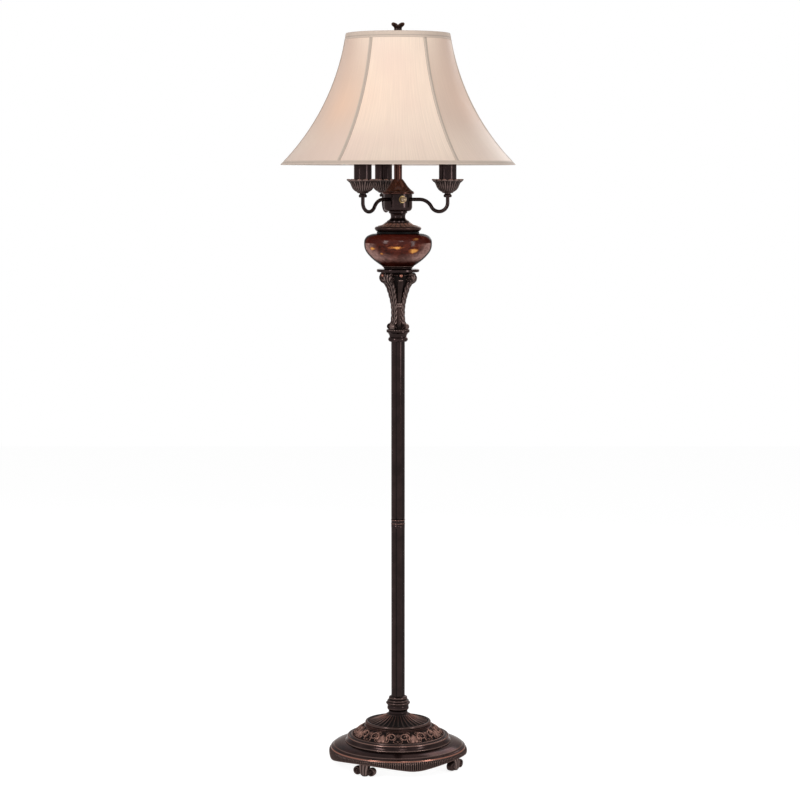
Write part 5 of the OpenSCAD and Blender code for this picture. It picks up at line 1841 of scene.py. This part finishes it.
@dataclass
class LightCluster:
    """The petal cups of the three candles, the bell over their arms and the switch's knob."""

    finishes: Finishes
    reach: float = 110.0
    azimuths: tuple[float, ...] = (77.0, -43.0, -163.0)
    cup_z: float = 1257.5
    nipple_r: float = 4.15
    petals: int = 15
    bell_z: float = 1255.0
    bell_seat: float = 28.5
    knob_azimuth: float = 17.0
    knob_r: float = 36.5
    knob_z: float = 1244.0
    knob_teeth: int = 24

    def make(self) -> None:
        """Builds the cups, the bell and the knob."""
        cup = self._cup()
        for number, azimuth in enumerate(self.azimuths, start=1):
            form = Form().join(cup, azimuth, (self.reach, 0.0, 0.0))
            form.build(f"petal_cup_{number}", self.finishes.carved, [f"candle_cup_{number}"], "bronze")
        self.bell()
        self.knob()

    def bell(self) -> None:
        """The bell that closes the cluster, with a rolled rim below its flare."""
        z = self.bell_z
        outline = closed_outline([
            (32.6, 0.0), (34.0, 0.4), (35.3, 2.0), (35.3, 4.0), (34.2, 5.6), (31.4, 7.4), (27.6, 10.4),
            (23.8, 14.2), (20.4, 18.4), (17.0, 23.4), (13.6, 28.2), (11.0, 31.4), (9.6, 33.0),
        ], [(PIPE_BORE, 33.0), (PIPE_BORE, 29.0), (self.bell_seat, 3.0), (self.bell_seat, 0.0)], 0.4, z)

        def relief(azimuth: Array, radius: Array, height: Array) -> tuple:
            """Paints a line of shade over the rim."""
            return radius, height, 0.0, peak(height - z, 6.0, 0.7) * (radius > 31.0) * 0.7

        lathe(outline, 240, relief).build("bell_cover", self.finishes.russet, ["bell_cap"], "copper_bronze")

    def _cup(self) -> Form:
        """One cup about Z: a turned foot, ribbed leaves and a curled wavy lip.

        Returns:
            The form.
        """
        z = self.cup_z
        outer = turned_line([
            (9.0, 0.0), (10.8, 0.2), (12.4, 2.2), (16.2, 4.4), (19.4, 6.8), (22.0, 10.0), (24.0, 13.6),
            (25.6, 17.6), (27.6, 22.0), (30.6, 25.4), (33.4, 27.0), (34.8, 28.6), (34.2, 30.2),
            (32.4, 30.8), (30.8, 30.0),
        ], 0.5, z)
        count = len(outer)
        inner = turned_line([
            (28.6, 27.6), (25.8, 23.4), (23.8, 19.0), (24.0, 14.6), (21.6, 11.0), (18.6, 8.2), (14.6, 6.2),
            (10.0, 5.4), (self.nipple_r, 5.4),
        ], 1.0, z)
        outline = np.vstack([[(self.nipple_r, z)], outer, inner])

        def relief(azimuth: Array, radius: Array, height: Array) -> tuple:
            """Parts the petals, ribs their backs and waves the lip, rubs the lip's edge and the ribs'
            crests with painted highlight and paints shade between them.
            """
            up = height - z
            lip = smooth_step(14.0, 27.0, up)
            petal = np.abs(np.cos(azimuth * self.petals / 2.0))
            rib = np.abs(np.cos(azimuth * self.petals))
            outside = (np.arange(radius.shape[1]) <= count)[None, :]
            body = smooth_step(3.0, 7.0, up) * smooth_step(28.0, 24.0, up) * outside
            out = radius - lip * (1.0 - petal**0.7) * 2.6 - body * (1.0 - rib) * 1.5
            rise = height - lip * (1.0 - petal**0.6) * 2.8
            edge = smooth_step(26.0, 28.5, up)
            rub = outside * unit(edge * (0.30 + 0.3 * petal) + body * rib**5 * 0.40)
            recess = body * (1.0 - rib) * 1.1 + lip * (1.0 - petal) ** 3 * 0.8 * outside
            return out, rise, rub, unit(recess)

        return lathe(outline, 330, relief)

    def knob(self) -> None:
        """The knob on its shaft, with a milled edge and a domed front."""
        outline = closed_outline([
            (1.4, -8.0), (1.6, -7.6), (1.6, 0.0), (1.6, 0.0), (5.2, 0.0), (6.0, 0.8), (6.0, 2.0),
            (6.0, 7.6), (5.6, 8.8), (4.9, 8.8), (4.3, 7.9), (3.6, 7.9), (3.0, 9.0), (1.6, 9.8),
            (0.0, 10.0),
        ], [(0.0, -8.0)], 0.25, times=1)

        def relief(azimuth: Array, radius: Array, height: Array) -> tuple:
            """Mills the knob's edge and paints shade in the grooves."""
            zone = smooth_step(0.9, 1.5, height) * smooth_step(7.2, 6.2, height)
            zone = zone * smooth_step(5.0, 5.6, radius)
            mill = np.abs(np.sin(azimuth * self.knob_teeth / 2.0))
            return radius - zone * (1.0 - mill) * 0.45, height, 0.0, zone * (1.0 - mill) * 0.6

        knob = lathe(outline, 144, relief).laid((2, 0, 1), (self.knob_r, 0.0, self.knob_z))
        turned = Form().join(knob, self.knob_azimuth)
        turned.build("milled_knob", self.finishes.aged_brass, ["switch_knob"], "brass", Body.SWITCH)


# Shade and finial ------------------------------------------------------


@dataclass
class BellShade:
    """The six-panel bell shade: silk, lining and the braid over its seams."""

    finishes: Finishes
    bottom: float = 1319.2
    height: float = 281.0
    curve: float = 506.0
    curve_r: float = 613.2
    curve_z: float = 1676.6
    panels: int = 6
    first_rib: float = 30.0
    flatness: float = 0.55
    fabric_depth: float = 1.1
    lining_depth: float = 2.1
    hem_band: float = 8.0
    top_band: float = 14.0
    tape_w: float = 7.6
    cloth_area: float = 0.334
    cloth_flat: Pair = (1.57, 0.325)

    def make(self) -> None:
        bands = [
            self._band("hem_braid", 0.0, self.hem_band, 0.5),
            self._band("top_braid", self.height - self.top_band, self.height, 0.34),
            self._tapes(),
        ]
        cloth = self._cloth()

    def point(self, up: Array, turn: Array, depth: Union[float, Array]) -> Array:
        """Points of the shade.

        Args:
            up: heights above the hem.
            turn: degrees round from the first rib.
            depth: how far under the surface.

        Returns:
            The points.
        """
        angle = math.pi + np.arcsin((self.curve_z - self.bottom - up) / self.curve)
        rib = self.curve_r + (self.curve + depth) * np.cos(angle)
        half = 180.0 / self.panels
        off = np.radians(np.mod(turn, 2 * half) - half)
        share = unit(up / self.height)
        flat = self.flatness * np.sin(math.pi * share) ** 0.8
        radius = rib * (1.0 - flat + flat * math.cos(math.radians(half)) / np.cos(off))
        azimuth = np.radians(self.first_rib + turn)
        height = self.curve_z + (self.curve + depth) * np.sin(angle)
        return np.stack([radius * np.sin(azimuth), -radius * np.cos(azimuth), height], axis=-1)

    def _cloth(self) -> Piece:
        """The silk and its lining as one closed skin.

        Returns:
            The piece.
        """
        ups = np.linspace(0.6, self.height - 0.6, 90)
        turns = np.linspace(0.0, 360.0, 360, endpoint=False)
        up, turn = np.meshgrid(ups, turns, indexing="ij")
        skin = np.concatenate([
            self.point(up, turn, self.fabric_depth), self.point(up, turn, self.lining_depth)[::-1]
        ], axis=0)
        form = Form().grid(skin, True, True)
        cloth = form.build("silk_panels", self.finishes.silk, ["shade_fabric"], "silk", Body.SHADE)
        cloth.data.materials.append(self.finishes.lining)
        faces = cloth.data.polygons
        outward = [face.center.xy.dot(face.normal.xy) for face in faces]
        faces.foreach_set("material_index", [int(side < 0.0) for side in outward])
        return cloth

    def _band(self, name: str, low: float, high: float, crease_at: float) -> Piece:
        """A braid band round the hem or the top.

        Args:
            name: the piece's name.
            low: its lower edge above the hem.
            high: its upper edge.
            crease_at: where its crease lies, as a share of the way up.

        Returns:
            The piece.
        """
        count = 15
        share = np.linspace(0.0, 1.0, count)
        swell = np.abs(np.sin(math.pi * share)) ** 0.35 * 0.75
        crease = peak(share, crease_at, 0.06)
        depth = 0.8 - swell + crease * 0.5
        turns = np.linspace(0.0, 360.0, 360, endpoint=False)
        up, turn = np.meshgrid(low + (high - low) * share, turns, indexing="ij")
        outer = self.point(up, turn, np.broadcast_to(depth[:, None], up.shape))
        inner = self.point(up, turn, 1.0)[::-1]
        # Painted shade along the band's crease.
        recess = np.concatenate([crease, np.zeros(count)])[:, None] * np.ones((1, len(turns))) * 0.6
        form = Form().grid(np.concatenate([outer, inner], axis=0), True, True, 0.0, recess)
        return form.build(name, self.finishes.braid, ["shade_trim"], "braid", Body.SHADE)

    def _tapes(self) -> Piece:
        """The folded tapes over the six seams, each with a crease down its middle, with painted shade in
        the crease, over one half and at the edges.

        Returns:
            The piece.
        """
        form = Form()
        low, high = self.hem_band - 1.0, self.height - self.top_band + 1.0
        ups = np.linspace(low, high, 70)
        side = np.array([-1.0, -0.97, -0.80, -0.5, -0.2, -0.07, 0.0, 0.07, 0.2, 0.5, 0.80, 0.97, 1.0])
        ridge = np.array([1.0, 0.35, 0.12, 0.08, 0.04, 0.12, 0.40, 0.12, 0.04, 0.08, 0.12, 0.35, 1.0])
        crease = peak(side, 0.0, 0.06)
        # Painted shade: the crease, the half on one side and both edges are darker.
        shade = crease + 0.34 * (side > 0.03) + 0.4 * (np.abs(side) > 0.9)
        mark = np.concatenate([shade, np.zeros(len(side))])[None, :] * np.ones((len(ups) + 2, 1))
        up, across = np.meshgrid(ups, side, indexing="ij")
        _, depth = np.meshgrid(ups, ridge, indexing="ij")
        for rib in range(self.panels):
            centre = 360.0 / self.panels * rib
            radius = np.linalg.norm(self.point(up, np.full_like(up, centre), 0.0)[..., :2], axis=-1)
            turn = centre + np.degrees(across * self.tape_w / 2 / radius)
            outer = self.point(up, turn, depth)
            inner = self.point(up, turn, 1.02)
            loop = np.concatenate([outer, inner[:, ::-1]], axis=1)
            form.grid(capped(loop), False, True, 0.0, mark * 0.8)
        return form.build("seam_tapes", self.finishes.braid, ["shade_trim"], "braid", Body.SHADE)


@dataclass
class PetalFinial:
    """The finial: a turned bulb under four flared petals."""

    finishes: Finishes
    bottom: float = 1588.4
    height: float = 34.8
    radius: float = 15.5
    stud_r: float = 3.2
    valley: float = 29.4
    petals: int = 4
    bulb_grooves: int = 12

    def make(self) -> None:
        """Builds the finial."""
        z, h, r = self.bottom, self.height, self.radius
        lip = (r - 1.4, h)
        outer = turned_line([
            (self.stud_r, 0.0), (6.8, 0.0), (6.8, 2.6), (8.6, 3.6), (10.6, 6.6), (11.2, 11.0), (10.4, 15.4),
            (8.9, 17.4), (8.9, 18.6), (8.2, 21.6), (8.8, 24.6), (11.2, 29.0), (13.9, 33.2), (r, h), lip,
        ], 0.35, z)
        inner = turned_line([lip, (12.0, 33.0), (7.0, 28.4), (0.0, 26.6)], 0.6, z)
        outline = np.vstack([outer, inner, lifted([(0.0, 15.8), (self.stud_r, 15.8)], z)])

        def relief(azimuth: Array, radius: Array, height: Array) -> tuple:
            """Parts the petals and grooves the bulb, rubs the petals' tops and the ridges with painted
            highlight and paints shade in the grooves.
            """
            petal = np.abs(np.sin(azimuth * self.petals / 2.0))
            up = height - z
            flare = smooth_step(23.0, h, up) * (radius > 4.0)
            fall = (1.0 - petal**0.75) * (h - self.valley) * flare
            groove = np.abs(np.sin(azimuth * self.bulb_grooves / 2.0))
            body = smooth_step(4.0, 7.0, up) * smooth_step(16.5, 14.0, up) * (radius > 8.0)
            out = radius - (1.0 - petal**0.5) * 1.6 * flare - body * (1.0 - groove**0.5) * 0.7
            rub = flare * smooth_step(0.8, 1.0, up / h) * 0.35 + body * groove**4 * 0.25
            return out, height - fall, unit(rub), unit(body * (1.0 - groove) * 0.6)

        form = lathe(outline, 192, relief)
        form.build("petal_finial", self.finishes.bronze, ["finial"], "bronze", Body.FINIAL)


# Plain nodes, light and camera -----------------------------------------


@dataclass
class PlainNodes:
    """The nodes that keep their own solid shape and only take a finish."""

    finishes: Finishes

    def make(self) -> None:
        """Gives every shown node its material."""
        use = self.finishes
        groups: tuple[tuple[Material, str, tuple[str, ...]], ...] = (
            (use.felt, "felt", ("foot_pads",)),
            (use.iron, "iron", ("base_weight",)),
            (use.russet, "copper_bronze", ("riser_tube",)),
            (use.steel, "steel", ("foot_screws", "bottom_cover", "base_pipe", "stem_pipe", "shade_frame")),
            (use.brass, "brass", (
                "base_nuts", "pole_inserts", "font_spacer", "cluster_nuts", "switch_nut", "harp_saddle",
                "socket_cap", "socket_shell", "harp", "ferrule_left", "ferrule_right",
            )),
            (use.rubber, "black_rubber", ("cord_outlet", "font_gasket", "font_top_ring", "wiring")),
            (use.porcelain, "socket_body", ("candle_sockets", "socket_insulator")),
            (use.plastic, "switch_plastic", ("switch_body",)),
            (use.bulb, "bulb_glass", ("candle_bulbs", "centre_bulb")),
        )
        finish_of = {name: (material, slot) for material, slot, names in groups for name in names}
        for name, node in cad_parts.items():
            if node.hide_render:
                continue
            material, slot = finish_of.get(name, (use.gloss_bronze, "bronze"))
            node.data.materials.clear()
            node.data.materials.append(material)
            for face in node.data.polygons:
                face.material_index = 0
            LOG.info("finished %s in %s", name, material.name)


@dataclass(frozen=True)
class SoftLamp:
    """A lamp's name, place, target, width and height in metres, and watts."""

    name: str
    place: Triple
    target: Triple
    size: Pair
    power: float


@dataclass
class Studio:
    """The camera, the lights, the floor and the white backdrop."""

    eye: Triple = (0.0043, -5.0, 1.2924)
    tilt: float = 5.55
    lens: float = 103.3
    sensor: float = 36.0
    ambient: float = 0.30
    floor_size: float = 6.0
    floor_z: float = -0.001
    floor_grey: float = 0.82
    shadow_grey: float = 0.35
    floor_glow: float = 0.87
    lamps: tuple[SoftLamp, ...] = (
        SoftLamp("key", (-2.4, -2.5, 2.3), (0.0, 0.0, 0.9), (0.85, 1.9), 66.0),
        SoftLamp("fill", (2.6, -2.0, 1.5), (0.0, 0.0, 0.9), (0.65, 1.9), 34.0),
        SoftLamp("front", (0.7, -3.4, 2.9), (0.0, 0.0, 0.7), (0.8, 0.8), 20.0),
        SoftLamp("rim", (1.0, 2.4, 2.2), (0.0, 0.0, 1.0), (1.0, 1.6), 20.0),
    )

    def make(self) -> None:
        """Sets up everything round the lamp."""
        self._camera()
        self._world()
        self._floor()
        for lamp in self.lamps:
            self._area(lamp)

    def _camera(self) -> None:
        """The photo's camera."""
        data = bpy.data.cameras.new("camera")
        data.lens = self.lens
        data.sensor_width = self.sensor
        camera = bpy.data.objects.new("camera", data)
        camera.location = self.eye
        camera.rotation_euler = (math.radians(90.0 - self.tilt), 0.0, 0.0)
        bpy.context.scene.collection.objects.link(camera)
        bpy.context.scene.camera = camera
        bpy.context.scene.view_settings.view_transform = "Standard"

    @staticmethod
    def _seen(nodes: bpy.types.Nodes, links: bpy.types.NodeLinks) -> Socket:
        """Tells rays that are seen from light that falls on things.

        Args:
            nodes: the tree's nodes.
            links: the tree's links.

        Returns:
            1 for camera, mirror and transmission rays and 0 for the others.
        """
        path = nodes.new("ShaderNodeLightPath")
        total = path.outputs["Is Camera Ray"]
        for kind in ("Is Glossy Ray", "Is Transmission Ray"):
            add = nodes.new("ShaderNodeMath")
            add.operation = "ADD"
            add.use_clamp = True
            links.new(total, add.inputs[0])
            links.new(path.outputs[kind], add.inputs[1])
            total = add.outputs[0]
        return total

    def _world(self) -> None:
        """White where it is seen, reflected or seen through, and soft light elsewhere."""
        world = bpy.data.worlds.new("world")
        world.use_nodes = True
        nodes, links = world.node_tree.nodes, world.node_tree.links
        nodes.clear()
        mix = nodes.new("ShaderNodeMixShader")
        links.new(self._seen(nodes, links), mix.inputs[0])
        for place, strength in ((1, self.ambient), (2, 1.0)):
            background = nodes.new("ShaderNodeBackground")
            background.inputs["Color"].default_value = (1.0, 1.0, 1.0, 1.0)
            background.inputs["Strength"].default_value = strength
            links.new(background.outputs[0], mix.inputs[place])
        output = nodes.new("ShaderNodeOutputWorld")
        links.new(mix.outputs[0], output.inputs[0])
        bpy.context.scene.world = world

    def _floor(self) -> None:
        """A white floor that keeps the lamp's shadow."""
        shader = Shader("floor")
        plain, shadow = (
            shader.add("ShaderNodeBsdfDiffuse", {}, {"Color": (grey, grey, grey)})
            for grey in (self.floor_grey, self.shadow_grey)
        )
        white = {"Color": (1.0, 1.0, 1.0), "Strength": self.floor_glow}
        glow = shader.add("ShaderNodeEmission", {}, white)
        both = shader.add("ShaderNodeAddShader", {}, {0: shadow.outputs[0], 1: glow.outputs[0]})
        seen = self._seen(shader.tree.nodes, shader.tree.links)
        mix = shader.add("ShaderNodeMixShader", {}, {0: seen, 1: plain.outputs[0], 2: both.outputs[0]})
        shader.add("ShaderNodeOutputMaterial", {}, {"Surface": mix.outputs[0]})
        mesh = bpy.data.meshes.new("floor")
        corners = ((-1, -1), (1, -1), (1, 1), (-1, 1))
        points = [(x * self.floor_size, y * self.floor_size, self.floor_z) for x, y in corners]
        mesh.from_pydata(points, [], [(0, 1, 2, 3)])
        mesh.materials.append(shader.material)
        floor = bpy.data.objects.new("floor", mesh)
        bpy.context.scene.collection.objects.link(floor)

    @staticmethod
    def _area(lamp: SoftLamp) -> None:
        """Stands a soft lamp in its place.

        Args:
            lamp: the lamp.
        """
        data = bpy.data.lights.new(lamp.name, "AREA")
        data.shape = "RECTANGLE"
        data.size, data.size_y = lamp.size
        data.energy = lamp.power
        light = bpy.data.objects.new(lamp.name, data)
        light.location = lamp.place
        aim = Vector(lamp.target) - Vector(lamp.place)
        light.rotation_euler = aim.to_track_quat("-Z", "Y").to_euler()
        bpy.context.scene.collection.objects.link(light)


def main() -> None:
    """Builds the lamp in order."""
    logging.basicConfig(level=logging.INFO, format="%(name)s: %(message)s")
    glows = (
        Glow((0.0, 0.0, 1.484), 0.110, 0.75),
        Glow((-0.0850, -0.0700, 1.420), 0.080, 0.90),
        Glow((0.1072, -0.0247, 1.420), 0.070, 0.55),
        Glow((-0.0322, 0.1052, 1.420), 0.080, 0.80),
    )
    finishes = Finishes(glows)
    assemblies = (
        ScrollBase(finishes), ReededPole(finishes), LeafCapital(finishes), GlassFont(finishes),
        LightCluster(finishes), BellShade(finishes), PetalFinial(finishes), PlainNodes(finishes),
        Studio(),
    )
    for assembly in assemblies:
        assembly.make()
        LOG.info("%s is done", type(assembly).__name__)


if __name__ == "__main__":
    main()
